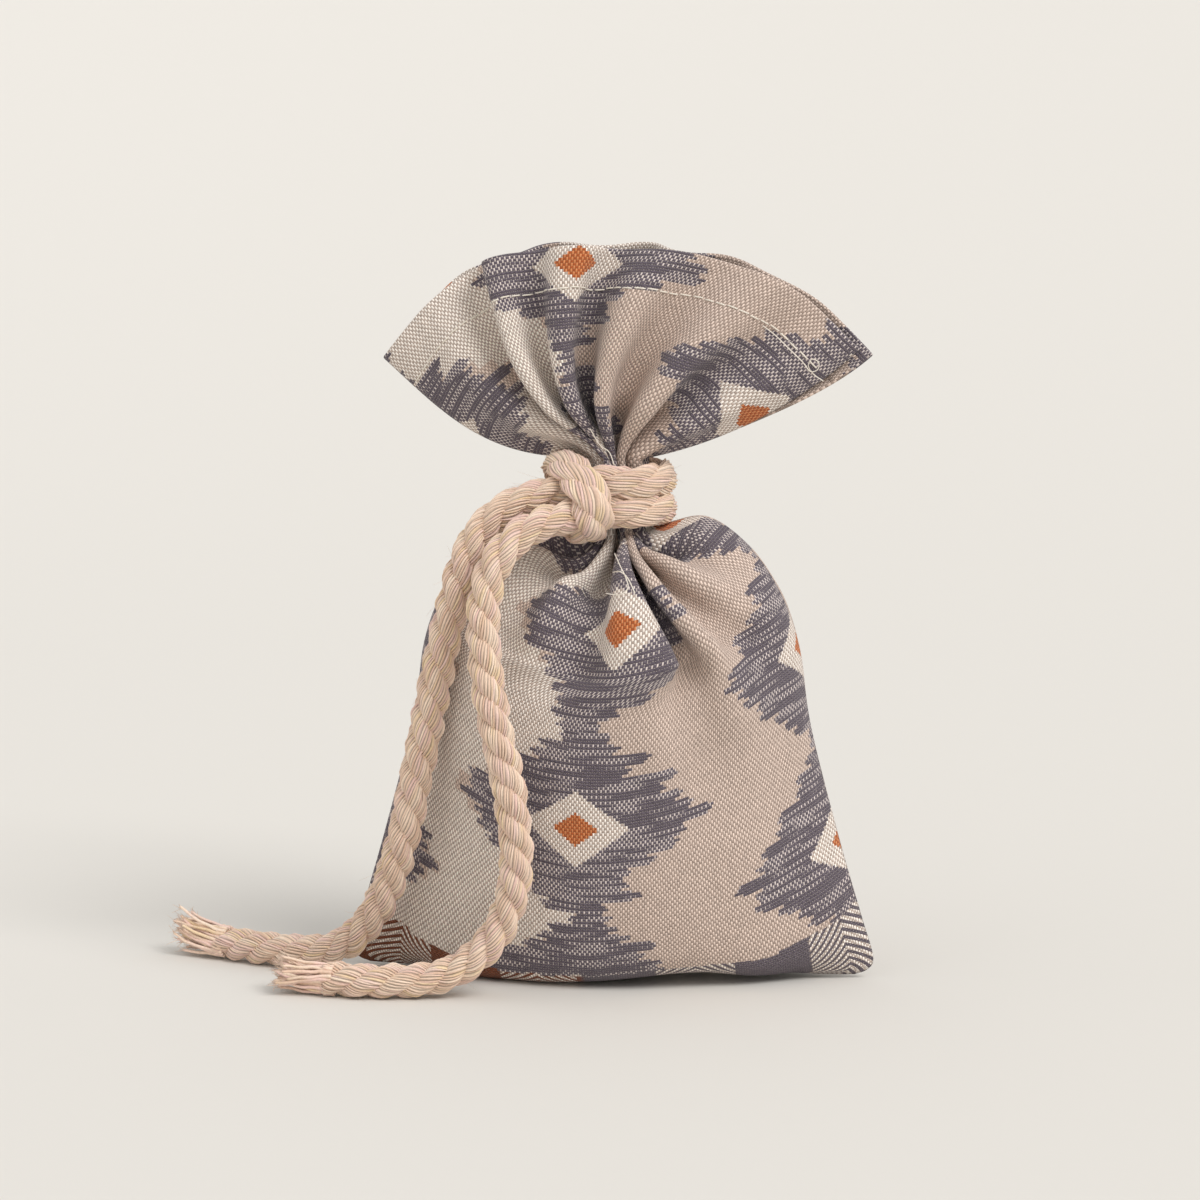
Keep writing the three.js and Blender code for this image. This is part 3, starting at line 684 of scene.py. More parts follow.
def seam_line():
    """Half width and height up the side seam, from the bottom corner to the neck."""
    flank = between((BASE_HALF, 0), FLANK)
    shoulder = between(SHOULDER, NECK_EDGE)
    return smooth_line([
        (BASE_HALF - CORNER_R, CORNER_LIFT), (BASE_HALF - 0.3 * CORNER_R, CORNER_LIFT + 0.3 * CORNER_R),
        (BASE_HALF, CORNER_LIFT + CORNER_R), flank(0.19, 0.25), flank(0.55, 0.56), flank(1, 1),
        between(FLANK, SHOULDER)(0.38, 0.6), SHOULDER,
        shoulder(0.24, 0.72), (lerp(SHOULDER_HALF, NECK_R, 0.56), NECK_LOW + 1.5),
        (NECK_R + 3, NECK_LOW - 0.3), NECK_EDGE,
    ])


def mouth_line():
    """Place across and height along the mouth, from its left corner to its right one."""
    left, right = (between(corner, (NECK_X, MOUTH_HEIGHT)) for corner in (MOUTH_LEFT, MOUTH_RIGHT))
    return smooth_line([
        MOUTH_LEFT, left(0.2, 0.5), left(0.42, 0.85), left(0.78, 1),
        right(0.78, 0.99), right(0.5, 0.86), right(0.24, 0.57), MOUTH_RIGHT,
    ])


MIDDLE, SEAM_EDGE, MOUTH = middle_line(), seam_line(), mouth_line()
SAMPLES = 161  # across a row before its folds


def inset(line, share, distance):
    """A line's point at a share of its length, moved square to the line towards the inside."""
    whole = lengths_along(line)[-1]
    before, here, after = at_lengths(line, np.clip([share - 0.002, share, share + 0.002], 0, 1) * whole)
    tangent = unit(after - before)
    return here + distance * np.array([-tangent[1], tangent[0]])


def body_line(share, wall=0.0, margin=0.0):
    """A row of the body towards +Y, from one side seam to the other, before its folds."""
    depth, middle = inset(MIDDLE, share, wall)
    half, seam = inset(SEAM_EDGE, share, margin)
    sharpness = lerp(0.85, 0.5, smoothstep(share, 0.1, 0.75))
    flat = 1 - smoothstep(share, 0.06, 0.3)
    lean = NECK_X * smoothstep(share, 0.6, 1)
    sine = np.sin(np.linspace(-1, 1, SAMPLES) * math.pi / 2)
    lifted = lerp(sine**2, np.maximum(0, (np.abs(sine) - 0.45) / 0.55) ** 2, flat)
    across = np.maximum(0, 1 - sine**2) ** sharpness
    height = lerp(middle, seam, lifted)
    height += SHOULDER_RISE * smoothstep(share, 0.8, 0.93) * smoothstep(sine, 0.2, 0.9)
    arch = ARCH_HEIGHT * np.exp(-(((half * sine - ARCH_X) / ARCH_HALF) ** 2))
    height += arch * (1 - smoothstep(share, 0.1, 0.3))
    row = np.stack([lean + half * sine, max(depth, 0) * across, height], axis=1)
    return spaced(row, SAMPLES)


def neck_line(height):
    turn = np.linspace(-1, 1, SAMPLES) * math.pi / 2
    places = [NECK_X + NECK_R * np.sin(turn), NECK_R * np.cos(turn), np.full_like(turn, height)]
    return np.stack(places, axis=1)


def frill_line(up):
    """A row of the frill towards +Y, before its folds: up is 0 at the neck and 1 at the mouth."""
    across = np.linspace(-1, 1, SAMPLES)[:, None]
    neck = neck_line(NECK_HIGH)
    edge = spaced(MOUTH, SAMPLES)
    mouth = np.hstack([edge[:, :1], MOUTH_DEPTH * np.maximum(0, 1 - across**2) ** 0.6, edge[:, 1:]])
    reach = np.linalg.norm(mouth - neck, axis=1, keepdims=True)
    leave = np.where(across < 0, -LEFT_SPREAD, NECK_SPREAD) * np.abs(across) ** 1.2
    arrive = MOUTH_SPREAD * across
    leave, arrive = (np.hstack([np.sin(turn), 0 * across, np.cos(turn)]) * reach for turn in (leave, arrive))
    leave *= lerp(1, LEFT_PULL, smoothstep(-across, 0.2, 1))
    points = hermite(neck, leave, mouth, arrive, up)
    points[:, 1] += (FRILL_SWELL * math.sin(math.pi * up) * (1 - across**6))[:, 0]
    return spaced(points, SAMPLES)


# The creases, which run along the cloth from the tie. Each has its places across the cut, its widths and its
# turns, all given from the tie to its far end in millimetres and radians, and then how far it runs. A turn
# above 0 stands out to its right.
FRONT_BODY_CREASES = [
    ((-50, -50), (4.5, 7), (0.9, 0), 34),
    ((-41, -42), (4.5, 7), (-0.9, 0), 36),
    ((-31, -32), (4.5, 7), (0.9, 0), 40),
    ((-21, -22), (4.5, 7), (-0.8, 0), 44),
    ((-11, -9), (5, 9), (0.9, 0), 56),
    ((-3, 5, 15, 20, 20), (4, 6), (-1.4, -1.2, -0.8, -0.4, 0), 76),
    ((9, 17, 27, 33, 34), (4, 6), (1.4, 1.2, 0.8, 0.3, 0), 76),
    ((19, 27, 37, 44), (4.5, 7), (-1.2, -0.9, -0.5, 0), 60),
    ((28, 36, 45, 51), (4, 7), (1.3, 0.9, 0.4, 0), 52),
    ((39, 48), (5, 8), (-1.0, 0), 40),
    ((48, 55), (4.5, 7), (0.8, 0), 32),
    ((55, 56), (4.5, 7), (-0.8, 0), 30),
]
BACK_BODY_CREASES = [
    ((-52, -52), (4.5, 7), (-0.9, 0), 30),
    ((-43, -44), (4.5, 7), (0.9, 0), 36),
    ((-33, -35), (4.5, 7), (-1.1, 0), 50),
    ((-24, -28), (4.5, 7), (1.2, 0.5, 0), 62),
    ((-14, -17), (5, 8), (-1.0, 0), 52),
    ((-5, -6), (4.5, 8), (1.0, 0), 46),
    ((4, 4), (4.5, 8), (-1.0, 0), 50),
    ((13, 15), (4.5, 7), (1.2, 0), 60),
    ((24, 27), (4.5, 7), (-1.1, -0.4, 0), 66),
    ((34, 38), (5, 8), (1.0, 0), 48),
    ((44, 46), (4.5, 7), (-0.9, 0), 38),
    ((53, 54), (4.5, 7), (0.8, 0), 30),
]
FRONT_FRILL_CREASES = [
    ((-53, -50), (5, 8), (0.5, 0.1), 60),
    ((-46, -39), (5, 7), (-1, -0.55), 60),
    ((-36, -28), (4.5, 3.4), (1.5, 2.7), 60),
    ((-26, -18), (4.5, 5), (-1.3, -0.8), 60),
    ((-17, -11), (4, 3.4), (1.3, 1.2), 60),
    ((-7, 2), (4.5, 3.4), (-1.4, -1.8), 60),
    ((5, 10), (4.5, 6), (1.2, 0.7), 60),
    ((16, 22), (4.5, 6), (-1.2, -0.6), 60),
    ((27, 34), (4.5, 7), (1.0, 0.4), 60),
    ((38, 45), (4.5, 7), (-1.0, -0.25), 60),
    ((48, 54), (4.5, 7), (0.9, 0), 60),
    ((56, 58), (4, 7), (-0.6, 0), 60),
]
BACK_FRILL_CREASES = [
    ((-55, -56), (4.5, 7), (-0.8, 0), 60),
    ((-46, -46), (4.5, 7), (1.0, 0.2), 60),
    ((-36, -33), (4.5, 6), (-1.1, -0.4), 60),
    ((-26, -20), (4.5, 5), (1.2, 0.9), 60),
    ((-15, -8), (4.5, 6), (-1.2, -0.6), 60),
    ((-5, 3), (4.5, 5), (1.2, 0.7), 60),
    ((6, 13), (4.5, 5), (-1.3, -1.1), 60),
    ((17, 23), (4.5, 6), (1.2, 0.6), 60),
    ((28, 33), (4.5, 6), (-1.1, -0.4), 60),
    ((39, 44), (4.5, 7), (1.0, 0.2), 60),
    ((50, 54), (4.5, 7), (-0.9, 0), 60),
]

COLUMNS = 200
STEEPEST = 1.95  # radians: past this a fold's sides would meet
HALVINGS = 24  # steps of the search for how strong a row's folds are
CUT_ACROSS = np.linspace(-CUT_WIDTH / 2, CUT_WIDTH / 2, COLUMNS + 1)
SEAM_DISTANCE = CUT_WIDTH / 2 - np.abs(CUT_ACROSS)


def off_seam(reach):
    """0 at the side seams and 1 past that distance from them."""
    return smoothstep(SEAM_DISTANCE, 0, reach)


def cut_width(up):
    return np.interp(up, (0, CUT_LENGTH), (BASE_WIDTH, MOUTH_WIDTH))


def slopes_across(creases, from_tie):
    """How steeply the cloth stands at each place across the cut, before the row's strength."""
    slopes = np.zeros(COLUMNS + 1)
    for *ways, reach in creases:
        away = min(from_tie / reach, 1)
        at, width, turn = (np.interp(away, np.linspace(0, 1, len(way)), way) for way in ways)
        slopes += turn * np.exp(-(((CUT_ACROSS - at) / width) ** 2))
    return slopes * off_seam(6)


def lay_row(line, out, slopes, width, least, most, sink, crest, deepest):
    """Lays the cut's width along a row, with its folds as deep as use that width up.

    Their strength stays between least and most. Sink is how far the crests are drawn in, as a share of their
    height. Crest is the most that a fold stands out, and deepest the most that it goes in.
    """
    run = lengths_along(line)[-1]
    step = width / COLUMNS
    for _ in range(HALVINGS):
        strength = (least + most) / 2
        angles = STEEPEST * np.tanh(strength * slopes / STEEPEST)
        if np.cos(angles).mean() > run / width:
            least = strength
        else:
            most = strength
    halfway = (angles[1:] + angles[:-1]) / 2
    ahead = np.concatenate([[0], np.cumsum(np.cos(halfway))]) * step
    ahead *= run / ahead[-1]
    rise = np.concatenate([[0], np.cumsum(np.sin(halfway))]) * step
    rise -= np.linspace(0, rise[-1], COLUMNS + 1)
    rise -= rise.mean() * off_seam(14)
    rise -= sink * max(rise.max(), 0) * off_seam(14)
    rise = np.where(rise > 0, crest * np.tanh(rise / crest), deepest * np.tanh(rise / deepest))
    ahead = np.clip(ahead, 0, run)
    return at_lengths(line, ahead) + unit(at_lengths(line, ahead, out)) * rise[:, None]


BODY_ROWS, NECK_ROWS, FRILL_ROWS, HEM_ROWS = 150, 14, 64, 8


def base_rows():
    """The rows of a panel before its folds, and how far up the cut each is."""
    body = np.linspace(0, 1, BODY_ROWS + 1)
    neck = np.linspace(0, 1, NECK_ROWS + 1)[1:-1]
    frill = np.linspace(0, 1, FRILL_ROWS + 1)
    lines = [body_line(share) for share in body]
    lines += [neck_line(lerp(NECK_LOW, NECK_HIGH, share)) for share in neck]
    lines += [frill_line(up) for up in frill]
    places = [body * BODY_LENGTH, BODY_LENGTH + neck * NECK_LENGTH, FRILL_START + frill * FRILL_LENGTH]
    return np.array(lines), np.concatenate(places)


def outward(rows):
    """The directions square to a surface that was made towards +Y."""
    return unit(np.cross(np.gradient(rows, axis=0), np.gradient(rows, axis=1)))


FROM_TIE, DEEPEST = (0, 16, 24, 46, 74), (30, 8, 5.5, 4.2, 1.5)  # how far in a fold of the body may go
CREST_TIED, CREST_FREE = 0.4, 9  # how far a fold may stand out, at the tie and away from it
WEAKEST_BODY, WEAKEST_FRILL, STRONGEST = 0.2, 0.3, 6  # how strong the folds of a row may be
DENTS, SMALL_DENTS = 0.42, 0.16  # the height of the cloth's soft dents


def panel_surface(body_creases, frill_creases, seed, dent=0):
    """The cloth's outer surface towards +Y, as rows of points across the cut."""
    laid = []
    for line, out, up in zip(BASE_ROWS, BASE_OUT, UP_CUT):
        below, above = max(BODY_LENGTH - up, 0), max(up - BODY_LENGTH - NECK_LENGTH, 0)
        turn = smoothstep(up, BODY_LENGTH - 1, FRILL_START + 1)
        slopes = lerp(slopes_across(body_creases, below), slopes_across(frill_creases, above), turn)
        crest = lerp(CREST_TIED, CREST_FREE, smoothstep(below + above, 0, 14))
        if above == 0:
            slopes = slopes * smoothstep(up, 12, 36)
            least, most = WEAKEST_BODY, lerp(STRONGEST, 1.0, smoothstep(below, 20, 45))
            sink = lerp(1, 0, smoothstep(below, 3, 26))
            deepest = np.interp(below, FROM_TIE, DEEPEST)
        else:
            least, most, deepest = WEAKEST_FRILL, STRONGEST, DEEPEST[0]
            sink = lerp(1, 0.2, smoothstep(above, 2, 14))
        laid.append(lay_row(line, out, slopes, cut_width(up), least, most, sink, crest, deepest))
    laid = np.array(laid)
    reach = np.hypot(laid[..., 0] - DENT_X, laid[..., 1] + DENT_Y) / DENT_RADIUS
    pressed_in = dent * smoothstep(UP_CUT, 0.78 * BODY_LENGTH, 0.9 * BODY_LENGTH) * (UP_CUT <= BODY_LENGTH)
    laid[..., 2] -= DENT_DEPTH * np.exp(-reach**2) * pressed_in[:, None]
    away = np.abs(UP_CUT - BODY_LENGTH - NECK_LENGTH / 2)[:, None]
    free = off_seam(10)[None] * smoothstep(away, 8, 20) * smoothstep(UP_CUT, 0, 12)[:, None]
    dents = DENTS * soft_noise(seed, CUT_ACROSS[None], UP_CUT[:, None] * 0.7, 13)
    dents = dents + SMALL_DENTS * soft_noise(seed + 1, CUT_ACROSS[None], UP_CUT[:, None] * 0.8, 6)
    laid += outward(laid) * (dents * free)[..., None]
    room = MOUTH_ROOM * smoothstep(UP_CUT - BODY_LENGTH - NECK_LENGTH, 12, 20)[:, None]
    inside = (CLOTH + room) * smoothstep(SEAM_DISTANCE, 18, 34)
    near_seam = CLOTH_THICK * off_seam(3) * smoothstep(UP_CUT, 0, 8)[:, None]
    laid[..., 1] = np.maximum(np.maximum(laid[..., 1], inside), near_seam)
    laid[..., 2] = np.maximum(laid[..., 2], 0.02)
    return laid


BASE_ROWS, UP_CUT = base_rows()
BASE_OUT = outward(BASE_ROWS)
BASE_OUT *= np.where(BASE_OUT[..., 1:2] < 0, -1, 1)
front_surface = panel_surface(FRONT_BODY_CREASES, FRONT_FRILL_CREASES, 3, dent=1)
back_surface = panel_surface(BACK_BODY_CREASES, BACK_FRILL_CREASES, 9)
HEM_GAP = 0.3
BACK_CORNER = np.array([2.6, 0.6, -1.2])  # how far the back's right corner stands past the front's
above_tie = UP_CUT - BODY_LENGTH - NECK_LENGTH
corner = smoothstep(above_tie, 16, FRILL_LENGTH)[:, None] * smoothstep(CUT_ACROSS, 24, CUT_WIDTH / 2)
back_surface = back_surface + corner[..., None] * BACK_CORNER


def with_hem(surface):
    """The surface with its hem turned in at the mouth, and how far up the cut each row is."""
    out = outward(surface)
    last = surface[-1]
    up = unit(last - surface[-2])
    rim = HEM_GAP / 2 + CLOTH_THICK / 2
    rows, places = [surface], [UP_CUT]
    for angle in np.radians([45, 90, 135]):
        rows.append((last - out[-1] * rim * (1 - math.cos(angle)) + up * rim * math.sin(angle))[None])
        places.append([CUT_LENGTH + rim * angle])
    for share in np.linspace(0, 1, HEM_ROWS + 1):
        place = np.interp(CUT_LENGTH - share * HEM, UP_CUT, np.arange(len(UP_CUT)))
        k = min(int(place), len(UP_CUT) - 2)
        here = lerp(surface[k], surface[k + 1], place - k) - lerp(out[k], out[k + 1], place - k) * 2 * rim
        rows.append(here[None])
        places.append([CUT_LENGTH + rim * math.pi + share * HEM])
    rows = np.concatenate(rows)
    rows[..., 1] = np.maximum(rows[..., 1], 0)
    return rows, np.concatenate(places)


OUTER_SHARE = 0.76  # of its bake map that a panel's outer side takes


def shell_piece(name, rows, up, across, thickness, side):
    """A closed sheet from its outer surface, made towards +Y and turned to face front (-1) or back (1)."""
    inner = rows - outward(rows) * thickness
    inner[..., 1] = np.maximum(inner[..., 1], 0)
    sides = [points * (1, side, 1) + np.array([0, side * GAP / 2, 0]) for points in (rows, inner)]
    pattern = np.stack(np.meshgrid(across, up), axis=-1) * MM
    pattern[..., 0] *= cut_width(up)[:, None] / CUT_WIDTH
    x, y = np.meshgrid(np.linspace(0, 1, len(across)), (up - up[0]) / np.ptp(up) * 0.98 + 0.01)
    bakes = [
        np.stack([0.01 + (OUTER_SHARE - 0.02) * x, y], axis=-1),
        np.stack([OUTER_SHARE + (0.95 - OUTER_SHARE) * x, y], axis=-1),
    ]
    shape = Shape("flat_cut", "OFBake")
    for points, bake, flip in zip(sides, bakes, (side > 0, side < 0)):
        shape.grid(points, flip=flip, flat_cut=pattern, OFBake=bake)
    numbers = np.arange(rows.shape[0] * rows.shape[1]).reshape(rows.shape[:2])
    edges = [
        (numbers[:, 0], pattern[:, 0]), (numbers[-1], pattern[-1]),
        (numbers[::-1, -1], pattern[::-1, -1]), (numbers[0, ::-1], pattern[0, ::-1]),
    ]
    for k, (edge, cut) in enumerate(edges):
        down = np.linspace(0.01, 0.99, len(edge))
        x = np.full_like(down, 0.96 + 0.009 * k)
        strips = [np.stack([x + wide, down], axis=1) for wide in (0, 0.006)]
        shape.quads(np.stack([edge, edge + numbers.size]), side > 0, flat_cut=[cut, cut], OFBake=strips)
    return shape.piece(name)


def cloth_piece(name, surface, side):
    rows, up = with_hem(surface)
    return shell_piece(name, rows, up, CUT_ACROSS, CLOTH_THICK, side)


front_cloth = cloth_piece("front_cloth", front_surface, -1)
back_cloth = cloth_piece("back_cloth", back_surface, 1)


# The sachet and its filling, inside the pouch
def sachet_row(share, depth_in):
    shoulder = FOLD_ROOM * smoothstep(share, 0.4, 0.62)
    wall = CLOTH + SACHET_ROOM + depth_in + shoulder
    row = body_line(share, wall, SEAM + SACHET_SIDE + depth_in + shoulder)
    row[:, 1] *= math.sqrt(max(0, 1 - (share / SACHET_TOP) ** 8))
    return row


def sachet_piece(name, side, seed):
    shares = np.linspace(0.03, SACHET_TOP, 90)
    rows = np.array([sachet_row(share, 0) for share in shares])
    across = np.linspace(-SACHET_HALF, SACHET_HALF, SAMPLES)
    pucker = 0.35 * soft_noise(seed, across[None], shares[:, None] * 120, 7)
    pucker = pucker * smoothstep(SACHET_HALF - np.abs(across), 0, 8)[None]
    pucker = pucker * smoothstep(shares, 0.03, 0.2)[:, None]
    flatter = (1 - smoothstep(shares, 0.7, 0.84))[:, None, None]
    rows -= outward(rows) * np.maximum(pucker, 0)[..., None] * flatter
    rows[..., 1] = np.maximum(rows[..., 1], 0)
    return shell_piece(name, rows, shares * BODY_LENGTH, across, SACHET_SHEET, side)


def filling_piece(name):
    rings = []
    for share in np.linspace(0.09, 0.84 * SACHET_TOP, 80):
        row = spaced(sachet_row(share, SACHET_SHEET + FILL_ROOM), 81)
        rings.append(np.vstack([row * (1, -1, 1), row[-2:0:-1]]))
    rings = np.array(rings)
    shape = Shape("lumps")
    around, up = np.linspace(0, 1, rings.shape[1] + 1), np.linspace(0, 1, len(rings))
    uv = np.stack(np.meshgrid(around, up), axis=-1)
    shape.skin(rings, lumps=uv)
    return shape.piece(name)


sachet_front = sachet_piece("sachet_front_muslin", -1, 41)
sachet_back = sachet_piece("sachet_back_muslin", 1, 42)
filling = filling_piece("filling_heap")


# Sewing threads
def on_cloth(surface, side, across, up):
    """The points of a panel's outer surface at those places of the cut, and the directions out of it."""
    columns = (np.asarray(across, float) / CUT_WIDTH + 0.5) * COLUMNS
    rows = np.interp(up, UP_CUT, np.arange(len(UP_CUT)))
    columns, rows = np.broadcast_arrays(columns, rows)
    c = np.clip(np.floor(columns).astype(int), 0, COLUMNS - 1)
    r = np.clip(np.floor(rows).astype(int), 0, len(UP_CUT) - 2)
    x, y = (columns - c)[..., None], (rows - r)[..., None]
    sampled = []
    for grid in (surface, outward(surface)):
        low = lerp(grid[r, c], grid[r, c + 1], x)
        high = lerp(grid[r + 1, c], grid[r + 1, c + 1], x)
        sampled.append(lerp(low, high, y) * (1, side, 1))
    sampled[0][..., 1] += side * GAP / 2
    return sampled


STITCH, STITCH_GAP, STITCH_R, THREAD_R = 2.4, 0.3, 0.17, 0.12


def hem_stitches(name, surface, side):
    """A line of machine stitches that holds the hem."""
    shape = Shape("yarns")
    up = CUT_LENGTH - HEM + 0.6
    for start in np.arange(-CUT_WIDTH / 2 + 2, CUT_WIDTH / 2 - 2 - STITCH, STITCH + STITCH_GAP):
        across = np.linspace(start, start + STITCH, 7)
        points, out = on_cloth(surface, side, across, up + 0.12 * math.sin(start * 1.7))
        sunk = np.array([-0.15, 0.1, 0.15, 0.17, 0.15, 0.1, -0.15])
        shape.tube(points + out * sunk[:, None], STITCH_R * np.array([0.7, 1, 1, 1, 1, 1, 0.7]), sides=6)
    return shape.piece(name)


stitches_front = hem_stitches("hem_stitches_front", front_surface, -1)
stitches_back = hem_stitches("hem_stitches_back", back_surface, 1)


# Loose thread ends on the front: each point's x, height and distance before the cloth
LOOSE_THREADS = [
    [(32.9, 141.3, 0), (35.4, 139.2, 0.7), (38.4, 136.2, 0.4), (41.2, 133.6, 0.9), (42.8, 131.6, 1.2),
     (44.4, 132, 1.6), (44.6, 133.6, 1.9), (43.2, 134.2, 1.4), (42.4, 132.8, 0.9), (43.4, 131, 0.8),
     (45.4, 129.4, 0.4)],
    [(2.6, 93.7, 0.6), (4.4, 91.9, 1.2), (5.8, 90, 1.4), (6.6, 87.8, 1.2), (5, 86.4, 0.9), (1.7, 86.2, 0.6)],
    [(2.9, 90.4, 0.5), (4.6, 90.8, 1.3), (6.4, 89.6, 1.2), (8.1, 86.7, 0.5)],
    [(-3.2, 119.5, 0.3), (-1.4, 116, 0.9), (0.6, 114.4, 1.2), (1.9, 111.8, 3.4)],
]


def loose_threads(name):
    shape = Shape("yarns")
    for thread in LOOSE_THREADS:
        line = []
        for x, z, before in thread:
            near = np.hypot(front_surface[..., 0] - x, front_surface[..., 2] - z) < 1.5
            line.append((x, -front_surface[..., 1][near].max() - GAP / 2 - 0.1 - before, z))
        shape.tube(spaced(smooth_line(line), 60), THREAD_R, sides=6)
    return shape.piece(name)


threads = loose_threads("loose_threads")


# The yarns' colours as they show in soft light: sand, cream, slate, brown and rust
LIGHT_RUST = paint(215, 138, 90)
DARK_RUST = paint(170, 87, 46)
WARP = [paint(231, 210, 197), paint(254, 244, 235), paint(216, 204, 200), LIGHT_RUST, LIGHT_RUST]
WEFT = [paint(168, 148, 137), paint(184, 167, 156), paint(100, 91, 101), paint(122, 70, 48), DARK_RUST]
TOOTH = 4  # weft rows in one ragged stroke
LOZENGE_WIDE, LOZENGE_HIGH = 68, 42
LOZENGE_HALF, LOZENGE_SLOPE = 32.5, 1.42  # half its width at its middle, and how fast that shrinks
CREAM_DIAMOND, RUST_DIAMOND = (12.5, 8.2), (5.4, 3.6)  # half width and half height
RAGGED_RIGHT, RAGGED_LEFT, RAGGED_ROW = 10, 5, 1.3  # how far its strokes and its single rows differ
STROKE_ROUNDING = 3.4
BORDER_TOP = FOOT_DEPTH + 6.4
BORDER_BLOCK, BORDER_STRIPE = 17, 2.3


def woven_cloth(name, shift_across, shift_up):
    """Coarse plain weave, with ragged lozenges in a slate weft and a hatched border along the base."""
    f = Finish(name)
    across, up = f.uv("flat_cut")
    across, up = across * 1000, up * 1000
    warp = (across + (f.noise(up / 9, across / 60) - 0.5) * 0.5) / WARP_STEP
    weft = (up + (f.noise(across / 22, up / 18) - 0.5) * 1.0) / WEFT_STEP
    column, row = warp.floor(), weft.floor()

    # Which yarn lies on top
    over = 0.5 + 0.5 * column.sign_of_row() * ((weft - 0.5) * math.pi).cosine()
    under = 0.5 - 0.5 * row.sign_of_row() * ((warp - 0.5) * math.pi).cosine()
    warp_round = ((warp.fraction() - 0.5) * math.pi).cosine()
    weft_round = ((weft.fraction() - 0.5) * math.pi).cosine()

    # The ragged lozenges, in half-drop
    tooth = row / TOOTH
    stroke = tooth.floor()
    place = (across + shift_across) / LOZENGE_WIDE
    repeat = place.floor()
    x = (place.fraction() - 0.5) * LOZENGE_WIDE
    drop = (1 - repeat.sign_of_row()) * 0.25
    y = (((stroke * TOOTH * WEFT_STEP + shift_up) / LOZENGE_HIGH + drop).fraction() - 0.5) * LOZENGE_HIGH
    jitter = (f.dice(stroke, repeat) - 0.5) * RAGGED_RIGHT + (f.dice(row, repeat) - 0.5) * RAGGED_ROW
    jitter_left = (f.dice(stroke + 31, repeat) - 0.5) * RAGGED_LEFT
    jitter_left = jitter_left + (f.dice(row + 9, repeat) - 0.5) * RAGGED_ROW
    rounding = (tooth.fraction() * 2 - 0.75).size().power(3) * STROKE_ROUNDING
    half = LOZENGE_HALF - y.size() * LOZENGE_SLOPE
    inside = (half + jitter - x - rounding).least(half + jitter_left + x - rounding)
    fine = ((((row * WEFT_STEP + shift_up) / LOZENGE_HIGH + drop).fraction() - 0.5) * LOZENGE_HIGH).size()
    core, rust = (
        (1 - (x.size() / wide + fine / high)).step(-0.01, 0.01)
        for wide, high in (CREAM_DIAMOND, RUST_DIAMOND)
    )
    band = (1 + (place + 0.5).floor().sign_of_row()) / 2
    cream = core.most(band * (x.size() / (LOZENGE_WIDE / 2) + y.size() / (LOZENGE_HIGH / 2)).step(0.98, 1.0))
    slate = inside.step(-0.1, 0.1) * (1 - core)

    # The border along the base
    border = 1 - (up + (f.dice((column / 6).floor(), 3.0) - 0.5)).step(BORDER_TOP - 0.1, BORDER_TOP + 0.1)
    block = across / BORDER_BLOCK + 0.3
    slant = (block.fraction() - 0.5).size() * BORDER_BLOCK + up * 1.2
    stripes = (slant / BORDER_STRIPE).fraction().step(0.42, 0.5)
    pale = border * (block / 2).fraction().step(0.49, 0.51) * stripes
    rusty = border * (1 - (across + 4).step(-1, 1))

    # Rows where the light warp shows through the slate weft, and rows that cover it
    streaks = f.noise(across / 15 + row * 9.1, row * 3.7, 1.0)
    dark = slate.most(border) * (1 - pale)
    show = 1 - dark * (0.25 + 0.6 * streaks.step(0.42, 0.56).most(border))
    warp_high = over * warp_round * show * 1.1
    weft_high = under * weft_round * (0.86 + 0.3 * dark) + dark * 0.25 * weft_round
    on_top = (warp_high - weft_high).step(-0.06, 0.06)

    rust = rust * (1 - border)
    cream = cream.most(pale)
    brown = rusty * (1 - pale)

    def yarn_colour(sand_yarn, cream_yarn, slate_yarn, brown_yarn, rust_yarn):
        colour = f.mix(cream, sand_yarn, cream_yarn)
        colour = f.mix(dark, colour, slate_yarn)
        colour = f.mix(brown, colour, brown_yarn)
        return f.mix(rust, colour, rust_yarn)

    colour = f.mix(on_top, yarn_colour(*WEFT), yarn_colour(*WARP))
    height = warp_high.most(weft_high)
    uneven = 0.9 + 0.2 * f.dice(column, row) + 0.14 * (f.noise(across / 5, row * 2.3) - 0.5)
    # Painted shade: groove dims the colour where the weave lies low, in the gaps between yarns. Uneven is the
    # yarns' own random tone.
    groove = 0.62 + 0.44 * height.step(0.0, 0.75)
    fibres = f.noise(across * 9, up * 9, 3.0, 0.6)
    colour = f.dim(colour, groove * uneven)
    height = height + 0.25 * fibres
    return f.shade(colour, 0.88 + 0.1 * fibres, height, depth=0.17, sheen=0.12, specular=0.2)


def twisted_cotton(name):
    """Soft cotton yarns, each a little different, with fine fibres along them and painted shade in the
    grooves between.
    """
    f = Finish(name)
    around, along = f.uv("yarns")
    yarn = around.floor()
    across = around.fraction()
    colour = f.mix(f.dice(yarn, 1.0), paint(230, 197, 174), paint(255, 233, 212))
    tint = f.noise(yarn * 7.3, along / 14)
    colour = f.mix(tint.step(0.5, 0.7) * 0.6, colour, paint(244, 208, 203))
    colour = f.mix(tint.step(0.42, 0.28) * 0.5, colour, paint(244, 216, 164))
    streaks = f.noise(around * 5, along * 1.3 + yarn * 3.1, 4.0, 0.7)
    # Painted shade: groove darkens each yarn towards its edges, where it meets the next. It also sinks the
    # bump there.
    groove = (across * 2 - 1).size().power(3)
    colour = f.dim(colour, (0.76 + 0.5 * streaks) * (1 - 0.6 * groove))
    return f.shade(colour, 0.95, streaks - 0.6 * groove, depth=0.12, sheen=0.25, specular=0.15)


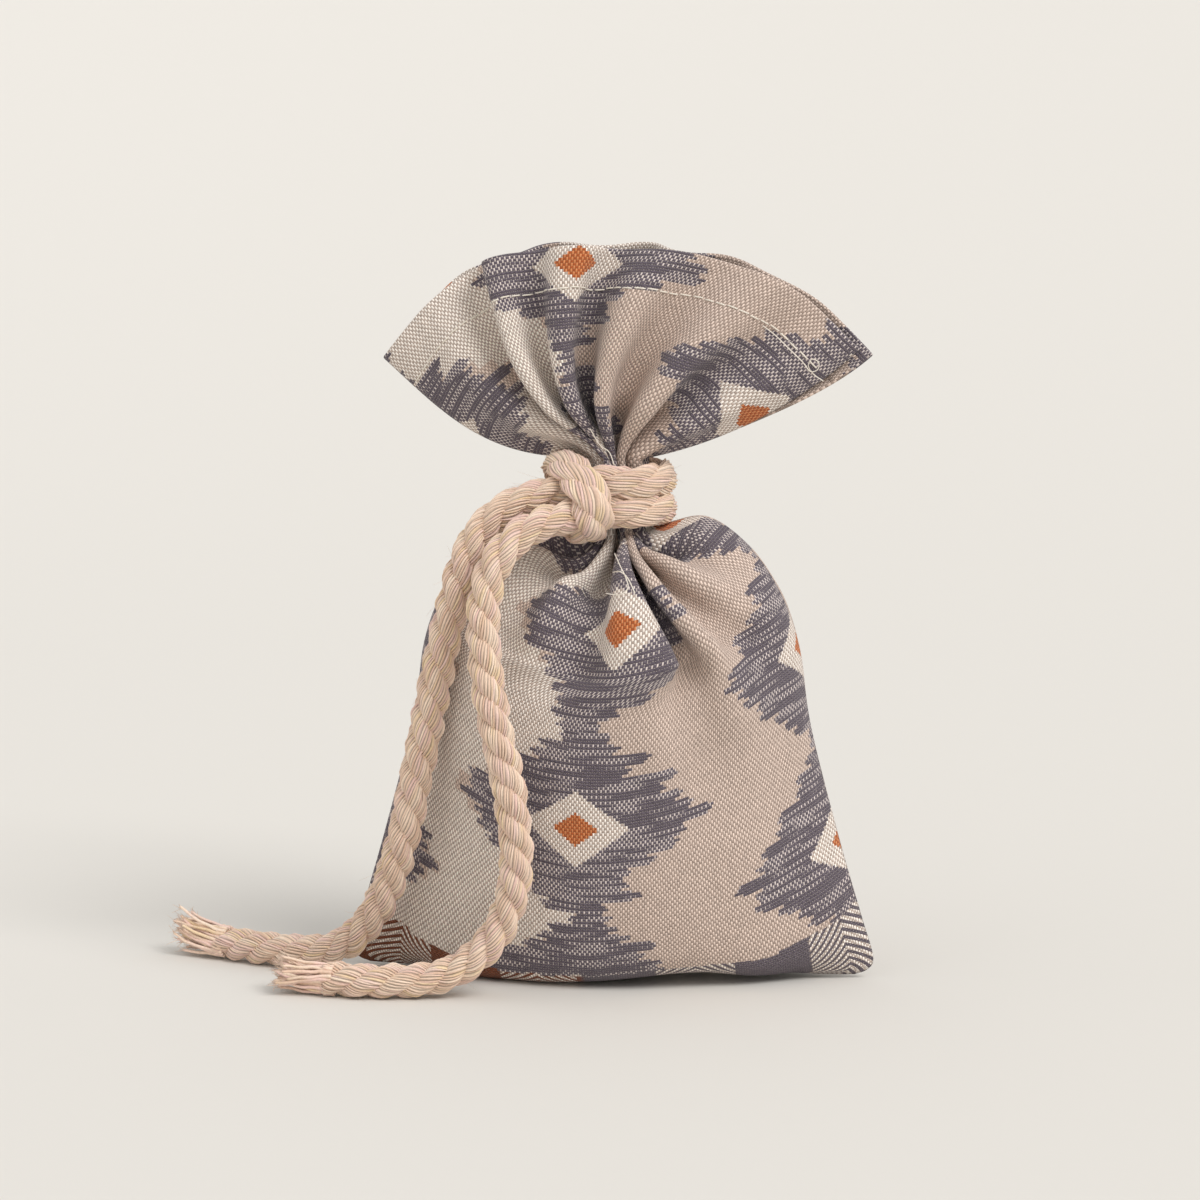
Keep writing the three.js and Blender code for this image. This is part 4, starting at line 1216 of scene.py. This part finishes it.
def plain_cotton(name, light, dark, scale):
    """Fine plain cotton thread, or small dry bits."""
    f = Finish(name)
    place = f.value("ShaderNodeTexCoord", output="Object")
    x, y, z = (part * 1000 / scale for part in f.parts(place))
    grain = f.noise(x + y, z, 3.0, 0.6)
    colour = f.mix(grain.step(0.3, 0.7), dark, light)
    return f.shade(colour, 0.85 + 0.1 * grain, grain, depth=0.05, sheen=0.1, specular=0.2)


MUSLIN_YARN = 0.5


def muslin_cloth(name):
    f = Finish(name)
    across, up = f.uv("flat_cut")
    warp, weft = across * 1000 / MUSLIN_YARN, up * 1000 / MUSLIN_YARN
    over = 0.5 + 0.5 * warp.floor().sign_of_row() * ((weft - 0.5) * math.pi).cosine()
    height = over * ((warp.fraction() - 0.5) * math.pi).cosine()
    # Painted shade: the muslin is darker where its weave lies low, between the threads.
    colour = f.mix(height.step(0.1, 0.8), paint(205, 198, 182), paint(240, 235, 222))
    return f.shade(colour, 0.9, height, depth=0.1, sheen=0.1, specular=0.2)


cloth_front_finish = woven_cloth("printed_cloth_front", 39, 10)
cloth_back_finish = woven_cloth("printed_cloth_back", 14, 27)
cotton_finish = twisted_cotton("cotton_cord")
thread_finish = plain_cotton("sewing_thread", paint(246, 240, 230), paint(224, 214, 200), 0.2)
muslin_finish = muslin_cloth("sachet_muslin")
filling_finish = plain_cotton("filling_bits", paint(178, 150, 112), paint(116, 92, 62), 1.6)


# Each piece's finish and body, and the model's parts that it stands in for, which are hidden
def settle(piece, finish, slot, *nodes):
    piece.data.materials.append(finish)
    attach(piece, "root")
    if nodes:
        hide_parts(*nodes)


settle(front_cloth, cloth_front_finish, "printed_cloth", "front_panel")
settle(back_cloth, cloth_back_finish, "printed_cloth", "back_panel")
settle(neck_turns, cotton_finish, "cotton_cord", "neck_turns")
settle(tail_rear, cotton_finish, "cotton_cord", "tail_rear")
settle(tail_front, cotton_finish, "cotton_cord", "tail_front")
settle(frayed_rear, cotton_finish, "cotton_cord", "frayed_end_rear")
settle(frayed_front, cotton_finish, "cotton_cord", "frayed_end_front")
settle(hairs, cotton_finish, "cotton_cord")
settle(sachet_front, muslin_finish, "sachet", "sachet_front")
settle(sachet_back, muslin_finish, "sachet", "sachet_back")
settle(filling, filling_finish, "filling", "filling")
settle(stitches_front, thread_finish, "printed_cloth")
settle(stitches_back, thread_finish, "printed_cloth")
settle(threads, thread_finish, "printed_cloth")

for tail, path, end in ((tail_rear, rear_path[::-1], frayed_rear), (tail_front, front_path, frayed_front)):
    path = path * MM
